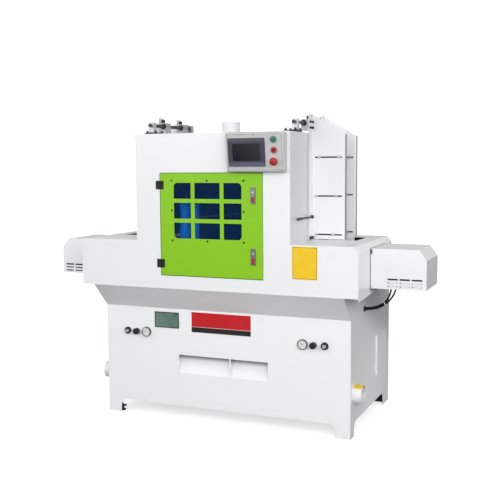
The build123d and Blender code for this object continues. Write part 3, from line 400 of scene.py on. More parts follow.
paneLook = {
    "tint": tone(8, 46, 88), "dusty": tone(60, 72, 98), "dustFrom": (0.62, 0.8), "wiping": (1, 1, 6),
    "alpha": 0.34,
}


def tintedPane():
    # smoke-blue acrylic with fine wiping marks and a little dust
    finish = Finish("tintedPane", {"IOR": 1.49, "Specular IOR Level": 0.3})
    wiped = finish.noise(9, 3, paneLook["wiping"])
    dust = finish.ease(finish.noise(420, 3), *paneLook["dustFrom"])
    finish.drive({
        "Base Color": finish.mix(paneLook["tint"], paneLook["dusty"], dust * 0.4),
        "Roughness": 0.05 + wiped * 0.08 + dust * 0.2,
        "Alpha": paneLook["alpha"] + wiped * 0.06 + dust * 0.08,
    })
    return finish.material


def clearGlass(name):
    # thin clear cover that shows little but its gloss
    finish = Finish(name, {"Base Color": (0.9, 0.93, 0.95, 1.0), "IOR": 1.5})
    smear = finish.ease(finish.noise(90, 3), 0.5, 0.8)
    finish.drive({"Roughness": 0.03 + smear * 0.12, "Alpha": 0.08 + smear * 0.05})
    return finish.material


# how far behind an outer face a point counts as inside, and how near it counts as on the face
sheetSkin = {"frame": 0.0035, "cover": 0.0028, "slack": 0.001, "face": 0.0006}


def cabinetInnerShade(finish):
    # painted shade on the inner faces of the hood and of the front and rear sheets
    skin, slack = sheetSkin["frame"], sheetSkin["slack"]
    low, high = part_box("cabinet_hood")
    sides = abs(finish.x) < high[0] - skin
    depth = finish.within(finish.y, low[1] - slack, high[1] + slack)
    return sides * depth * (finish.z < high[2] - skin)


baseFlare = {
    "z": 0.640, "depth": 0.130, "slope": 0.130 / 0.137, "recessX": 0.285, "recessZ": (0.262, 0.385),
    "recessEnd": 0.2755, "recessSkin": 0.0015, "shadeDrop": (0.050, 0.008), "shade": 0.95,
    "wallShade": 0.6,
}


def baseInnerShade(finish):
    # painted shade on the inner faces of the four base panels; the front one leans out above the flare,
    # and its recesses stay white
    skin = sheetSkin["frame"]
    side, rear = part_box("base_right")[1][0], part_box("base_rear")[1][1]
    lean = finish.maths("MAXIMUM", finish.z - baseFlare["z"], 0.0)
    front = frontPlane + baseFlare["depth"] - lean * baseFlare["slope"]
    recess = (abs(finish.x) < baseFlare["recessX"]) * finish.within(finish.z, *baseFlare["recessZ"])
    room = (abs(finish.x) < side - skin) * (finish.y < rear - skin) * (finish.y - front > skin)
    return room * (1 - recess)


coverShape = {
    "bevel": 0.041, "drop": 0.055, "louvreX": (0.910, 1.094), "louvreZ": (0.8135, 0.8595),
    "louvreTop": 0.855, "louvrePitch": 0.064, "louvreFirst": 0.028, "louvreSkin": 0.0004,
    "rim": (0.0268, 0.0042),
}


def coverInnerShade(finish):
    # painted shade on the inner faces of the two end covers, on the walls of their louvres and in a dark rim
    # round the upper ones; the bevelled corner is cut off the box
    skin = sheetSkin["cover"]
    low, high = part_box("right_end_cover")
    bevel, drop = coverShape["bevel"], coverShape["drop"]
    away = abs(finish.x)
    slant = (away - (high[0] - bevel)) * drop + (finish.z - high[2]) * bevel
    length = (away < high[0] - skin) * (slant < -skin * math.hypot(bevel, drop))
    depth = finish.within(finish.y, low[1] + skin, high[1] - skin)
    room = length * depth * finish.within(finish.z, low[2] + skin, high[2] - skin)
    row = finish.within(away, *coverShape["louvreX"])
    sheet = finish.within(finish.y, low[1] + coverShape["louvreSkin"], low[1] + 2 * skin)
    walls = row * finish.within(finish.z, *coverShape["louvreZ"]) * sheet
    along = (away - coverShape["louvreX"][0]) % coverShape["louvrePitch"] - coverShape["louvreFirst"]
    rimLength, rimHeight = coverShape["rim"]
    rims = (abs(finish.z - coverShape["louvreTop"]) < rimHeight) * (abs(along) < rimLength)
    return room + walls + rims * (finish.y < low[1] + skin) * row


bedBevel = 0.027


def bedInnerShade(finish):
    # painted shade on the inner faces of the bed, below its deck and inside the bevel of its ends
    skin = sheetSkin["frame"]
    low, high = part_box("right_bed_shell")
    away = abs(finish.x)
    bevel = away + finish.z < high[0] + high[2] - bedBevel - 2 * skin
    depth = finish.within(finish.y, frontPlane + skin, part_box("rear_sheet")[1][1] - skin)
    rise = finish.within(finish.z, low[2] - sheetSkin["slack"], high[2] - skin)
    return bevel * depth * (away < high[0] - skin) * rise


def bedEndLight(finish):
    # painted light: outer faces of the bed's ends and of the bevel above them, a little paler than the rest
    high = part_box("right_bed_shell")[1]
    away = abs(finish.x)
    bevel = away + finish.z > high[0] + high[2] - bedBevel - sheetSkin["slack"]
    return bevel + (away > high[0] - sheetSkin["face"])


def recessShade(finish):
    # hand recesses: darker under their upper edge and on their right-hand wall
    behind = finish.y > frontPlane + baseFlare["depth"] + baseFlare["recessSkin"]
    low, high = baseFlare["recessZ"]
    inside = behind * (abs(finish.x) < baseFlare["recessX"]) * finish.within(finish.z, low, high)
    under = finish.ease(finish.z, *(high - drop for drop in baseFlare["shadeDrop"])) * baseFlare["shade"]
    return inside * (under + (finish.x > baseFlare["recessEnd"]) * baseFlare["wallShade"])


sideShade = {
    "z": (0.50, 0.70), "depth": (0.28, 0.52), "middle": 0.5, "slope": 0.45, "share": 0.36,
    "patchScale": 9, "patchShare": 0.16,
}


def overhangShade(finish):
    # painted shade on the side panels, high up behind the leads, under the bed's and the covers' overhang
    depth = finish.y - frontPlane
    high = finish.ease(finish.z + (depth - sideShade["middle"]) * sideShade["slope"], *sideShade["z"])
    behind = finish.ease(depth, *sideShade["depth"])
    patches = finish.noise(sideShade["patchScale"], 4) * sideShade["patchShare"]
    return high * behind * (sideShade["share"] + patches)


hoodShadeSizes = {"share": 0.8, "patchScale": 6, "patchShare": 0.3}


def hoodSideShade(finish):
    # painted shade on the sides of the cabinet hood, a little greyer than its front
    sides = abs(finish.x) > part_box("cabinet_hood")[1][0] - sheetSkin["face"]
    patches = finish.noise(hoodShadeSizes["patchScale"], 4) * hoodShadeSizes["patchShare"]
    return sides * (hoodShadeSizes["share"] + patches)


hopperSheet = {
    "edge": 0.0004, "shadeZ": (1.48, 1.65), "shadeShare": 0.55,
    "streakScale": 26, "streakStretch": (2.2, 2.2, 0.06), "streakFrom": (0.42, 0.62), "streakShare": 0.3,
}


def hopperEdgeShade(finish):
    # painted shade on the outer faces of the hopper plates' folded edges
    return abs(finish.x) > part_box("right_front_plate")[1][0] - hopperSheet["edge"]


def hopperTopShade(finish):
    # painted shade on the front hopper plates, greyer towards their tops
    return finish.ease(finish.z, *hopperSheet["shadeZ"]) * hopperSheet["shadeShare"]


def hopperRubAndShade(finish):
    # long upright streaks, partly rubbed by stock and partly painted shade cast by the front plate
    streaks = finish.noise(hopperSheet["streakScale"], 4, hopperSheet["streakStretch"])
    return finish.ease(streaks, *hopperSheet["streakFrom"]) * hopperSheet["streakShare"]


spigotLook = {
    "tapeZ": (0.270, 0.290), "tapeLength": 0.048, "tape": tone(236, 200, 40), "roofShade": 0.83,
}


def spigotPaint(name, colour):
    # white pipes, the one on the roof greyer by painted shade, a strip of yellow tape over the right-hand one
    finish = Finish(name, {"Specular IOR Level": 0.42})
    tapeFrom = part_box("dust_spigots")[1][0] - spigotLook["tapeLength"]
    tape = (finish.x > tapeFrom) * finish.within(finish.z, *spigotLook["tapeZ"])
    onRoof = finish.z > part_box("cabinet_hood")[1][2]
    cloud = finish.noise(14, 3)
    skin = finish.mix(colour, shade(colour, 0.93), cloud)
    # painted shade on the roof pipe
    skin = finish.mix(skin, shade(colour, spigotLook["roofShade"]), onRoof)
    finish.drive({
        "Base Color": finish.mix(skin, spigotLook["tape"], tape),
        "Roughness": 0.38 + cloud * 0.1,
    })
    finish.bump(finish.noise(300, 2), 0.0001)
    return finish.material


supportFoot = {"height": 0.0112}


def bearingMetal(name):
    # alloy pedestals on blackened foot plates
    finish = Finish(name, {"Specular IOR Level": 0.5})
    alloy = finish.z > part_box("shaft_supports")[0][2] + supportFoot["height"]
    marks = finish.noise(60, 3, (1, 30, 1))
    bright = finish.mix(tone(176, 178, 181), tone(214, 216, 218), marks)
    dark = finish.mix(tone(26, 26, 28), tone(46, 46, 48), marks)
    finish.drive({
        "Base Color": finish.mix(dark, bright, alloy),
        "Metallic": 0.25 + alloy * 0.65,
        "Roughness": 0.5 - alloy * 0.14 + marks * 0.1,
    })
    finish.bump(marks, 0.00004)
    return finish.material


panelSizes = {
    "x": 0.280, "depth": -0.052, "z": 1.518, "lean": 7.0, "width": 0.326, "height": 0.206,
    "groove": 0.011, "grooveHalf": 0.0012, "ridgeHighlight": 0.0034,
}
panelLean = math.radians(panelSizes["lean"])


def upPanel(finish):
    # height on the leaning panel, counted from its middle
    return (finish.z - panelSizes["z"]) / math.cos(panelLean)


def lidPaint(name, colour):
    # grey lid: painted shade for a groove a little inside its bevel, painted highlight on the rim round it
    finish = Finish(name, {"Specular IOR Level": 0.45, "Coat Weight": 0.1})
    beside = abs(finish.x - panelSizes["x"]) - (panelSizes["width"] / 2 - panelSizes["groove"])
    above = abs(upPanel(finish)) - (panelSizes["height"] / 2 - panelSizes["groove"])
    far = finish.maths("MAXIMUM", beside, above)
    groove = abs(far) < panelSizes["grooveHalf"]
    ridgeHighlight = finish.within(far, panelSizes["grooveHalf"], panelSizes["ridgeHighlight"])
    peel = finish.noise(420, 2)
    cloud = finish.noise(9, 3)
    skin = finish.mix(colour, shade(colour, 0.92), cloud)
    # painted highlight on the rim round the groove
    skin = finish.mix(skin, shade(colour, 1.3), ridgeHighlight)
    finish.drive({
        "Base Color": finish.mix(skin, shade(colour, 0.4), groove),
        "Roughness": 0.34 + peel * 0.08,
    })
    finish.bump(peel, 0.0001)
    return finish.material


bezelRims = {
    "upper": tone(82, 81, 94), "upperFrom": (0.050, 0.056),
    "lower": tone(84, 89, 105), "lowerTo": (-0.056, -0.048),
}


def bezelPlastic(name, colour):
    # case of the panel unit, paler along its upper rim as painted highlight and bluer along the lower one
    finish = Finish(name, {"Specular IOR Level": 0.4})
    v = upPanel(finish)
    pebble = finish.noise(plasticLook["pebbleScale"], 2)
    skin = finish.mix(shade(colour, 0.92), colour, pebble)
    skin = finish.mix(skin, bezelRims["upper"], finish.ease(v, *bezelRims["upperFrom"]))
    skin = finish.mix(bezelRims["lower"], skin, finish.ease(v, *bezelRims["lowerTo"]))
    finish.drive({"Base Color": skin, "Roughness": 0.5 + pebble * 0.08})
    finish.bump(pebble, plasticLook["pebbled"])
    return finish.material


headShape = {"cowl": 1.238, "slide": 0.362, "blue": tone(6, 126, 235)}


def headPaint(name):
    # blue motor body; its cowl above and the slide behind it are blue-black
    finish = Finish(name, {"Specular IOR Level": 0.15})
    body = (finish.z < headShape["cowl"]) * (finish.y < frontPlane + headShape["slide"])
    sand = finish.noise(castLook["sandScale"], 3)
    blue = finish.mix(headShape["blue"], shade(headShape["blue"], 0.8), sand)
    dark = finish.mix(tone(14, 18, 36), tone(24, 30, 50), sand)
    finish.drive({"Base Color": finish.mix(dark, blue, body), "Roughness": 0.4 + sand * 0.15})
    finish.bump(sand, 0.0003)
    return finish.material


airRow = {"valveX": 0.602, "z": 0.496, "valveMiddle": 0.0105}


def valvePaint(name):
    # black knob with a bright metal middle
    finish = Finish(name, {"Specular IOR Level": 0.45})
    far = finish.distance(abs(finish.x) - airRow["valveX"], finish.z - airRow["z"])
    middle = far < airRow["valveMiddle"]
    grain = finish.noise(700, 2)
    black = finish.mix(tone(26, 26, 28), tone(44, 44, 46), grain)
    finish.drive({
        "Base Color": finish.mix(black, tone(204, 206, 208), middle),
        "Metallic": middle * 0.4,
        "Roughness": 0.45 - middle * 0.15 + grain * 0.08,
    })
    finish.bump(grain, 0.00006)
    return finish.material


def pair(node):
    return f"left_{node}", f"right_{node}"


white = tone(238, 239, 240)
# painted light: a whiter copy of the white paint for the base's front panel
litFrontWhite = tone(244, 245, 246)
# painted light: a whiter copy of the white paint for the rear hopper plates, which the front plates shade
litRearPlateWhite = tone(252, 252, 253)
# painted shade inside the cabinet
cabinetShadeLayer = {"colour": tone(36, 52, 80), "mask": cabinetInnerShade}
# painted shade inside the base
baseShadeLayer = {"colour": tone(58, 59, 62), "mask": baseInnerShade}
# painted shade inside the covers and in their louvres
coverShadeLayer = {"colour": tone(16, 16, 17), "mask": coverInnerShade}
# painted shade inside the bed
bedShadeLayer = {"colour": tone(30, 31, 34), "mask": bedInnerShade}
# painted light on the bed's ends
bedEndLightLayer = {"colour": tone(253, 253, 254), "mask": bedEndLight}
recessShadow = {"colour": tone(96, 97, 100), "mask": recessShade}
# painted shade under the overhang of the bed and the covers
overhangShadeLayer = {"colour": tone(150, 151, 153), "mask": overhangShade}
# painted shade on the sides of the hood
hoodShadeLayer = {"colour": tone(218, 219, 221), "mask": hoodSideShade}
# painted shade towards the tops of the front hopper plates
hopperTopShadeLayer = {"colour": tone(214, 215, 216), "mask": hopperTopShade}
# painted shade on the folded hopper edges
edgeShadeLayer = {"colour": tone(154, 155, 158), "mask": hopperEdgeShade}
# rub marks and painted shade on the rear hopper plates
rubbedAndShadedSheet = {"colour": tone(198, 199, 202), "mask": hopperRubAndShade}

slotFinish = {
    "white_paint": bakedPaint("whitePaint", white),
    "green_paint": bakedPaint("greenPaint", tone(137, 199, 24), 0.32),
    "clear_pane": tintedPane(),
    "black_plastic": mouldedPlastic("blackPlastic", tone(30, 30, 32)),
    "latch_metal": machinedMetal("latchMetal", tone(150, 151, 155), 0.3),
    "red_plastic": glossyPlastic("redPlastic", tone(200, 34, 30)),
    "green_plastic": glossyPlastic("greenPlastic", tone(24, 140, 92)),
    "panel_grey": lidPaint("panelGrey", tone(197, 198, 199)),
    "screen_black": bezelPlastic("screenCase", tone(62, 61, 73)),
    "gauge_metal": machinedMetal("gaugeMetal", tone(62, 62, 66), 0.3, evenly, metallic=0.6),
    "bearing_alloy": bearingMetal("bearingMetal"),
    "bright_steel": machinedMetal("brightSteel", tone(190, 192, 196), 0.22, evenly),
    "clamp_alloy": machinedMetal("clampAlloy", tone(184, 185, 188), 0.4, (1, 20, 1), metallic=0.4),
    "grey_casting": castMetal("greyCasting", tone(104, 108, 112)),
    "carriage_alloy": machinedMetal("carriageAlloy", tone(188, 190, 192), 0.34, (1, 30, 1)),
    "motor_black": castMetal("motorBlack", tone(30, 31, 34), 0.45),
    "blue_casting": castMetal("blueCasting", tone(18, 84, 214), 0.38),
    "lead_jacket": mouldedPlastic("leadJacket", tone(7, 7, 8), 0.7),
}
sharedFinish = (
    (bakedPaint("cabinetPaint", white, layers=(cabinetShadeLayer, bedShadeLayer)), ("front_sheet", "rear_sheet")),
    (bakedPaint("hoodPaint", white, layers=(hoodShadeLayer, cabinetShadeLayer, bedShadeLayer)), ("cabinet_hood",)),
    (bakedPaint("bedPaint", white, layers=(bedEndLightLayer, bedShadeLayer)), (*pair("bed_shell"), "bed_floor")),
    (bakedPaint("basePaint", white, layers=(baseShadeLayer,)), ("base_rear",)),
    (bakedPaint("sidePaint", white, layers=(overhangShadeLayer, baseShadeLayer)), ("base_left", "base_right")),
    (bakedPaint("recessPaint", litFrontWhite, layers=(baseShadeLayer, recessShadow)), ("base_front",)),
    (bakedPaint("coverPaint", white, layers=(coverShadeLayer,)), pair("end_cover")),
    (bakedPaint("hopperPaint", white, layers=(hopperTopShadeLayer, edgeShadeLayer)), pair("front_plate")),
    (bakedPaint("rearHopperPaint", litRearPlateWhite, layers=(rubbedAndShadedSheet, edgeShadeLayer)), pair("rear_plate")),
    (headPaint("headPaint"), pair("spindle_head")),
    (castMetal("beamPaint", tone(34, 38, 58)), ("spindle_beam",)),
    (glossyPlastic("startGreen", tone(24, 114, 86)), ("start_button",)),
    (glossyPlastic("stopRed", tone(138, 14, 16)), ("stop_button",)),
    (glossyPlastic("latchRed", tone(166, 38, 36), 0.4), ("upper_latch_button", "lower_latch_button")),
    (valvePaint("valvePaint"), pair("valve_knob")),
    (machinedMetal("shaftSteel", tone(70, 70, 73), 0.3, evenly, metallic=0.5), ("guide_shafts",)),
    (spigotPaint("spigotPaint", white), ("dust_spigots",)),
)
nodeFinish = {node: finish for finish, names in sharedFinish for node in names}

for part in frame["record"]["subparts"]:
    surfaces = nodes[part["node"]].data.materials
    surfaces.clear()
    surfaces.append(nodeFinish.get(part["node"], slotFinish[part["material_slot"]]))
blackScrew = machinedMetal("blackScrew", tone(22, 22, 24), 0.5, evenly, metallic=0.2)
brightScrew = machinedMetal("brightScrew", tone(205, 206, 208), 0.28, evenly)


# Studio
camera = {
    "place": (1.9325, -4.0108, 1.4578), "yaw": 23.0, "pitch": 5.9, "roll": -0.38, "lens": 59.92,
    "sensor": 36.0,
}


def setCamera():
    # looks back along the yaw and down by the pitch, then rolls about its own line of sight
    yaw, pitch, roll = (math.radians(camera[key]) for key in ("yaw", "pitch", "roll"))
    level = math.cos(pitch)
    ahead = np.array((-math.sin(yaw) * level, math.cos(yaw) * level, -math.sin(pitch)))
    side = unit(np.cross(ahead, upward))
    top = np.cross(side, ahead)
    right = side * math.cos(roll) + top * math.sin(roll)
    top = top * math.cos(roll) - side * math.sin(roll)
    lens = bpy.data.cameras.new("photoCamera")
    lens.lens = camera["lens"]
    lens.sensor_width = camera["sensor"]
    lens.dof.use_dof = False
    holder = bpy.data.objects.new("photoCamera", lens)
    scene.collection.objects.link(holder)
    turn = Matrix(np.stack((right, top, -ahead), axis=1).tolist()).to_4x4()
    holder.matrix_world = Matrix.Translation(spot(*camera["place"])) @ turn
    scene.camera = holder


lights = {
    "key": {"place": (-3.2, -5.0, 3.6), "size": 3.2, "power": 83},
    "front": {"place": (1.0, -6.5, 2.2), "size": 4.0, "power": 89},
    "frontRight": {"place": (3.4, -5.2, 2.6), "size": 3.0, "power": 136},
    "right": {"place": (4.6, -2.6, 3.6), "size": 3.0, "power": 73},
    "left": {"place": (-4.6, -1.0, 2.6), "size": 3.0, "power": 39},
    "behind": {"place": (-0.6, 4.6, 4.6), "size": 4.0, "power": 16},
    "low": {
        "place": (2.6, 0.0, 0.10), "size": 0.4, "power": 0.26, "aim": (0.74, 0.60, 0.14), "spread": 34,
    },
    "workLamp": {"place": (-0.31, 0.06, 1.12), "size": 0.10, "power": 0.44, "aim": (-0.27, 0.28, 1.08)},
}


def setLights():
    for name, values in lights.items():
        lamp = bpy.data.lights.new(name, "AREA")
        lamp.shape = "SQUARE"
        lamp.size = values["size"]
        lamp.energy = values["power"]
        lamp.spread = math.radians(values.get("spread", 180))
        holder = bpy.data.objects.new(name, lamp)
        holder.visible_camera = False
        scene.collection.objects.link(holder)
        place = spot(*values["place"])
        ahead = unit(spot(*values.get("aim", (0, 0.4, 1.0))) - place)
        side = unit(np.cross(ahead, upward if abs(ahead[2]) < 0.95 else back))
        turn = Matrix(np.stack((side, np.cross(side, ahead), -ahead), axis=1).tolist()).to_4x4()
        holder.matrix_world = Matrix.Translation(place) @ turn


studioSky = {"below": 0.128, "horizon": 0.666, "above": 0.278, "bandTop": 0.2, "bandEnd": 0.4}


def setSky():
    # a white band round the horizon, dimmer overhead, and the faint light that comes up from below
    scene.world = bpy.data.worlds.new("studioSky")
    scene.world.use_nodes = True
    sky = Graph(scene.world.node_tree)
    rise = sky.axis("Z", sky.node("ShaderNodeTexCoord", output="Generated"))
    over = sky.ease(rise, -0.03, 0.0)
    band = over * (1 - sky.ease(rise, studioSky["bandTop"], studioSky["bandEnd"]))
    glow = (1 - over) * studioSky["below"] + band * studioSky["horizon"] + over * studioSky["above"]
    sky.feed(sky.tree.nodes["Background"].inputs["Strength"], glow)
    sky.feed(sky.tree.nodes["Background"].inputs["Color"], grey(1.0))


roomLook = {
    "flat": 30.0, "wall": 12.0, "height": 60.0, "sides": 64,
    "near": 0.62, "far": 1.03, "fadeFrom": 1.6, "fadeTo": 9.0,
}


def layFloor():
    # pale floor that sweeps up into a white wall all round: radius and height follow a quarter circle
    turn = np.linspace(0, np.pi / 2, 10)
    wall = roomLook["wall"]
    bend = np.stack((roomLook["flat"] + wall * np.sin(turn), wall * (1 - np.cos(turn))), axis=1)
    profile = np.concatenate((((0, 0),), bend, ((bend[-1, 0], roomLook["height"]),)))
    angle = np.linspace(0, 2 * np.pi, roomLook["sides"], endpoint=False)
    ring = np.stack((np.cos(angle), np.sin(angle), np.zeros_like(angle)), axis=1)
    points = profile[:, :1, None] * ring + profile[:, 1:, None] * upward
    mesh = bpy.data.meshes.new("floor")
    quads = gridQuads(*points.shape[:2], False, True)
    mesh.from_pydata(points.reshape(-1, 3).tolist(), [], quads.tolist())
    mesh.shade_smooth()
    finish = Finish("floorPaint", {"Specular IOR Level": 0.1, "Emission Strength": 1.0})
    grain = finish.noise(3, 3)
    away = finish.node("ShaderNodeVectorMath", {"operation": "LENGTH"}, {0: finish.place}, "Value")
    fade = finish.ease(away, roomLook["fadeFrom"], roomLook["fadeTo"])
    finish.drive({
        "Base Color": finish.mix(grey(0.90), grey(0.94), grain),
        "Roughness": 0.8 + grain * 0.1,
        "Emission Color": finish.mix(grey(roomLook["near"]), grey(roomLook["far"]), fade),
    })
    mesh.materials.append(finish.material)
    floor = bpy.data.objects.new("floor", mesh)
    scene.collection.objects.link(floor)
    # its light is the sky's, so that it can be white without glaring on the machine
    floor.visible_diffuse = floor.visible_glossy = floor.visible_shadow = False


setCamera()
setLights()
setSky()
layFloor()
scene.view_settings.view_transform = "Standard"
scene.view_settings.look = "None"
print("studio set")


# Leads of the right-hand feed motor
leadSizes = {
    "diameter": 0.010, "lengths": {"power_lead": 0.254, "encoder_lead": 0.281},
    "routes": {
        "power_lead": (
            (893, 0, 815), (893, 0, 774), (881, 1, 735), (858, 3, 702), (820, 4.8, 680),
            (777, 4.8, 667.5), (732, 4.8, 664.2),
        ),
        "encoder_lead": (
            (921, 0, 815), (919, 0, 778), (901, -2, 737), (869, -4, 699), (829, -4.8, 675),
            (792, -4.8, 664), (757, -4.8, 660.2), (732, -4.8, 659.8),
        ),
    },
    "curveSteps": 12, "roundSteps": 5,
}


def makeLead(node):
    # NURBS spline with the route's points, along, aside and up in millimetres, as control points
    low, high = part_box(node)
    depth = (low[1] + high[1]) / 2
    route = [(x / 1000, depth + aside / 1000, z / 1000) for x, aside, z in leadSizes["routes"][node]]
    curve = bpy.data.curves.new(node.replace("_lead", "Cable"), "CURVE")
    curve.dimensions = "3D"
    curve.resolution_u = leadSizes["curveSteps"]
    spline = curve.splines.new("NURBS")
    spline.points.add(len(route) - 1)
    spline.points.foreach_set("co", np.array([(*point, 1.0) for point in route]).ravel())
    spline.order_u = 3
    spline.use_endpoint_u = True
    holder = bpy.data.objects.new(curve.name, curve)
    scene.collection.objects.link(holder)
    line = bpy.data.meshes.new_from_object(holder)
    points = np.empty(len(line.vertices) * 3)
    line.vertices.foreach_get("co", points)
    bpy.data.meshes.remove(line)
    curve.bevel_depth = leadSizes["diameter"] / 2
    curve.bevel_resolution = leadSizes["roundSteps"]
    curve.use_fill_caps = True
    curve.materials.append(slotFinish["lead_jacket"])
    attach(holder, "frame")
    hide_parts(node)
    return points.reshape(-1, 3)


leadLines = {node: makeLead(node) for node in leadSizes["routes"]}


glandSizes = {"radius": 0.0090, "length": 0.026, "sunk": 0.001}


def glandShell(base):
    # hex nut against the cover, then a dome that tapers down on to the lead
    radius, length, sunk = pick(glandSizes, "radius", "length", "sunk")
    profile = (
        (1.3 * radius, -sunk), (1.3 * radius, 0.2 * length), (radius, 0.22 * length),
        (radius, 0.5 * length), (0.86 * radius, 0.7 * length), (0.62 * radius, length),
        (0.5 * radius, length), (0.5 * radius, -sunk),
    )
    return turned(profile, base, -upward, hexRows=(0, 1), closed=True)


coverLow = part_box("right_end_cover")[0][2]
glands = []
for line in leadLines.values():
    crossing = line[np.argmin(np.abs(line[:, 2] - coverLow))]
    glands.append(glandShell(np.array((*crossing[:2], coverLow))))
makePiece("leadGlands", glands, "frame", "black_plastic")


grommetSizes = {"radius": 0.0138, "section": (0.0030, 0.0036), "proud": 0.0015}


def grommetShell():
    # rubber ring in the base's side: an oval carried round the leads
    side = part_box("base_right")[1][0]
    thick, deep = grommetSizes["section"]
    turn = np.linspace(0, 2 * np.pi, 14, endpoint=False)
    profile = np.stack((grommetSizes["radius"] + thick * np.cos(turn), deep * np.sin(turn)), axis=1)
    middle = (leadLines["power_lead"][-1] + leadLines["encoder_lead"][-1]) / 2
    return turned(profile, np.array((side + grommetSizes["proud"], *middle[1:])), across, closed=True)


makePiece("leadGrommet", [grommetShell()], "frame", "black_plastic")


tieSizes = {
    "share": 0.52, "width": 0.0045, "thickness": 0.0012, "slack": 0.0004, "corner": 0.001,
    "head": 0.006, "headHigh": 0.005, "tail": 0.018, "tailLift": 0.003, "tailSoft": 0.0003,
}


def tieShells():
    # band round both leads: an oval, half their distance plus a radius one way, a radius the other
    power, encoder = leadLines["power_lead"], leadLines["encoder_lead"]
    first = power[int(tieSizes["share"] * (len(power) - 1))]
    second = encoder[np.argmin(np.linalg.norm(encoder - first, axis=1))]
    middle = (first + second) / 2
    reach = second - first
    wide = unit(reach)
    along = unit(np.cross(wide, np.cross(power[-1] - power[0], wide)))
    thin = np.cross(along, wide)
    turn = np.linspace(0, 2 * np.pi, 36, endpoint=False)[:, None]
    radius = leadSizes["diameter"] / 2 + tieSizes["slack"]
    half = np.linalg.norm(reach) / 2 + radius
    ring = np.cos(turn) * wide * half + np.sin(turn) * thin * radius
    outward = np.cos(turn) * wide + np.sin(turn) * thin
    thickness, width, corner = pick(tieSizes, "thickness", "width", "corner")
    section = np.array(((0, -1), (1, -1), (1, 1), (0, 1))) * (thickness, width / 2)
    band = ring[:, None] + outward[:, None] * section[None, :, :1] + along * section[None, :, 1:]
    size, tail = tieSizes["head"], tieSizes["tail"]
    headEdge = sheetEdge(tieSizes["headHigh"], corner)
    tailEdge = sheetEdge(thickness, tieSizes["tailSoft"])
    tailSpot = middle + thin * (radius + tieSizes["tailLift"]) + wide * tail * 0.6
    return [
        shell(middle + band, loopRows=True, lids=(False, False)),
        slab(size, size, corner, headEdge, middle + thin * radius, wide, along),
        slab(tail, width, corner, tailEdge, tailSpot, wide, along),
    ]


tieNylon = mouldedPlastic("tieNylon", tone(232, 232, 228), 0.4)
makePiece("leadTie", tieShells(), "frame", "white_paint", tieNylon)
print("leads laid")


# Door
doorTrim = {
    "screwInset": 0.010, "screwRadius": 0.0054, "screwHeight": 0.0026,
    "leafMiddle": 0.0235, "leafFace": -0.0029, "hingeScrewReach": 0.017, "hingeScrewSpread": 0.013,
    "hingeScrewRadius": 0.0036, "hingeScrewHeight": 0.0016,
    "shim": 0.0003, "shimWidth": 0.0235, "shimHeight": 0.0465, "shimCorner": 0.001, "shimGap": 0.0004,
}
hinge = next(joint for joint in frame["joints"] if joint["name"] == "door_swing")["pos_m"]


def doorScrews():
    # eight screws round the pane, in three columns and three rows without the middle
    low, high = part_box("door_windows")
    inset, radius, height = pick(doorTrim, "screwInset", "screwRadius", "screwHeight")
    shells = []
    for x in np.linspace(low[0] + inset, high[0] - inset, 3):
        for z in np.linspace(low[2] + inset, high[2] - inset, 3):
            if abs(x - (low[0] + high[0]) / 2) > inset or abs(z - (low[2] + high[2]) / 2) > inset:
                shells.append(capScrew(spot(x, 0, z), -back, radius, height))
    return shells


def leafHeights(node):
    low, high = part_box(node)
    return low[2] + doorTrim["leafMiddle"], high[2] - doorTrim["leafMiddle"]


def hingeScrews(node, side):
    x = hinge[0] + side * doorTrim["hingeScrewReach"]
    keys = ("hingeScrewSpread", "hingeScrewRadius", "hingeScrewHeight")
    spread, radius, height = pick(doorTrim, *keys)
    return [capScrew(spot(x, doorTrim["leafFace"], z + offset), -back, radius, height)
            for z in leafHeights(node) for offset in (-spread, spread)]


def hingeShims(node, side):
    # thin black sheet under each hinge leaf, seen beside the knuckles
    width, height, corner = pick(doorTrim, "shimWidth", "shimHeight", "shimCorner")
    x = hinge[0] + side * (width / 2 + doorTrim["shimGap"])
    profile = ((0, 0), (0, doorTrim["shim"]))
    return [slab(width, height, corner, profile, spot(x, 0, z), across, upward, 3)
            for z in leafHeights(node)]


lockSizes = {
    "inset": 0.044, "rise": 0.016, "radius": 0.0065, "floor": 0.0006, "rim": 0.0014, "edge": 0.0010,
    "slit": (0.0014, 0.006, 0.0005), "slitHigh": 0.0016, "slitSoft": 0.0002,
}


def latchLocks():
    # round lock with a slit, over the push button
    low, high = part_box("latch_bodies")
    radius, floor, rim, edge = pick(lockSizes, "radius", "floor", "rim", "edge")
    profile = (
        (0, floor), (0.6 * radius, floor), (0.66 * radius, rim), (radius, edge), (radius, -letIn),
        (0, -letIn),
    )
    slitEdge = sheetEdge(lockSizes["slitHigh"], lockSizes["slitSoft"])
    shells = []
    for z in (low[2] + lockSizes["inset"], high[2] - lockSizes["inset"]):
        base = np.array(((low[0] + high[0]) / 2, low[1], z + lockSizes["rise"]))
        shells.append(turned(profile, base, -back))
        shells.append(slab(*lockSizes["slit"], slitEdge, base, across, upward, 3))
    return shells


makePiece("windowScrews", doorScrews(), "door", "latch_metal", blackScrew)
makePiece("frameHingeScrews", hingeScrews("hinge_frame_leaves", -1), "frame", "latch_metal", blackScrew)
makePiece("doorHingeScrews", hingeScrews("hinge_door_leaves", 1), "door", "latch_metal", blackScrew)
makePiece("frameHingeShims", hingeShims("hinge_frame_leaves", -1), "frame", "black_plastic")
makePiece("doorHingeShims", hingeShims("hinge_door_leaves", 1), "door", "black_plastic")
makePiece("latchLocks", latchLocks(), "door", "latch_metal", brightScrew)
print("door dressed")


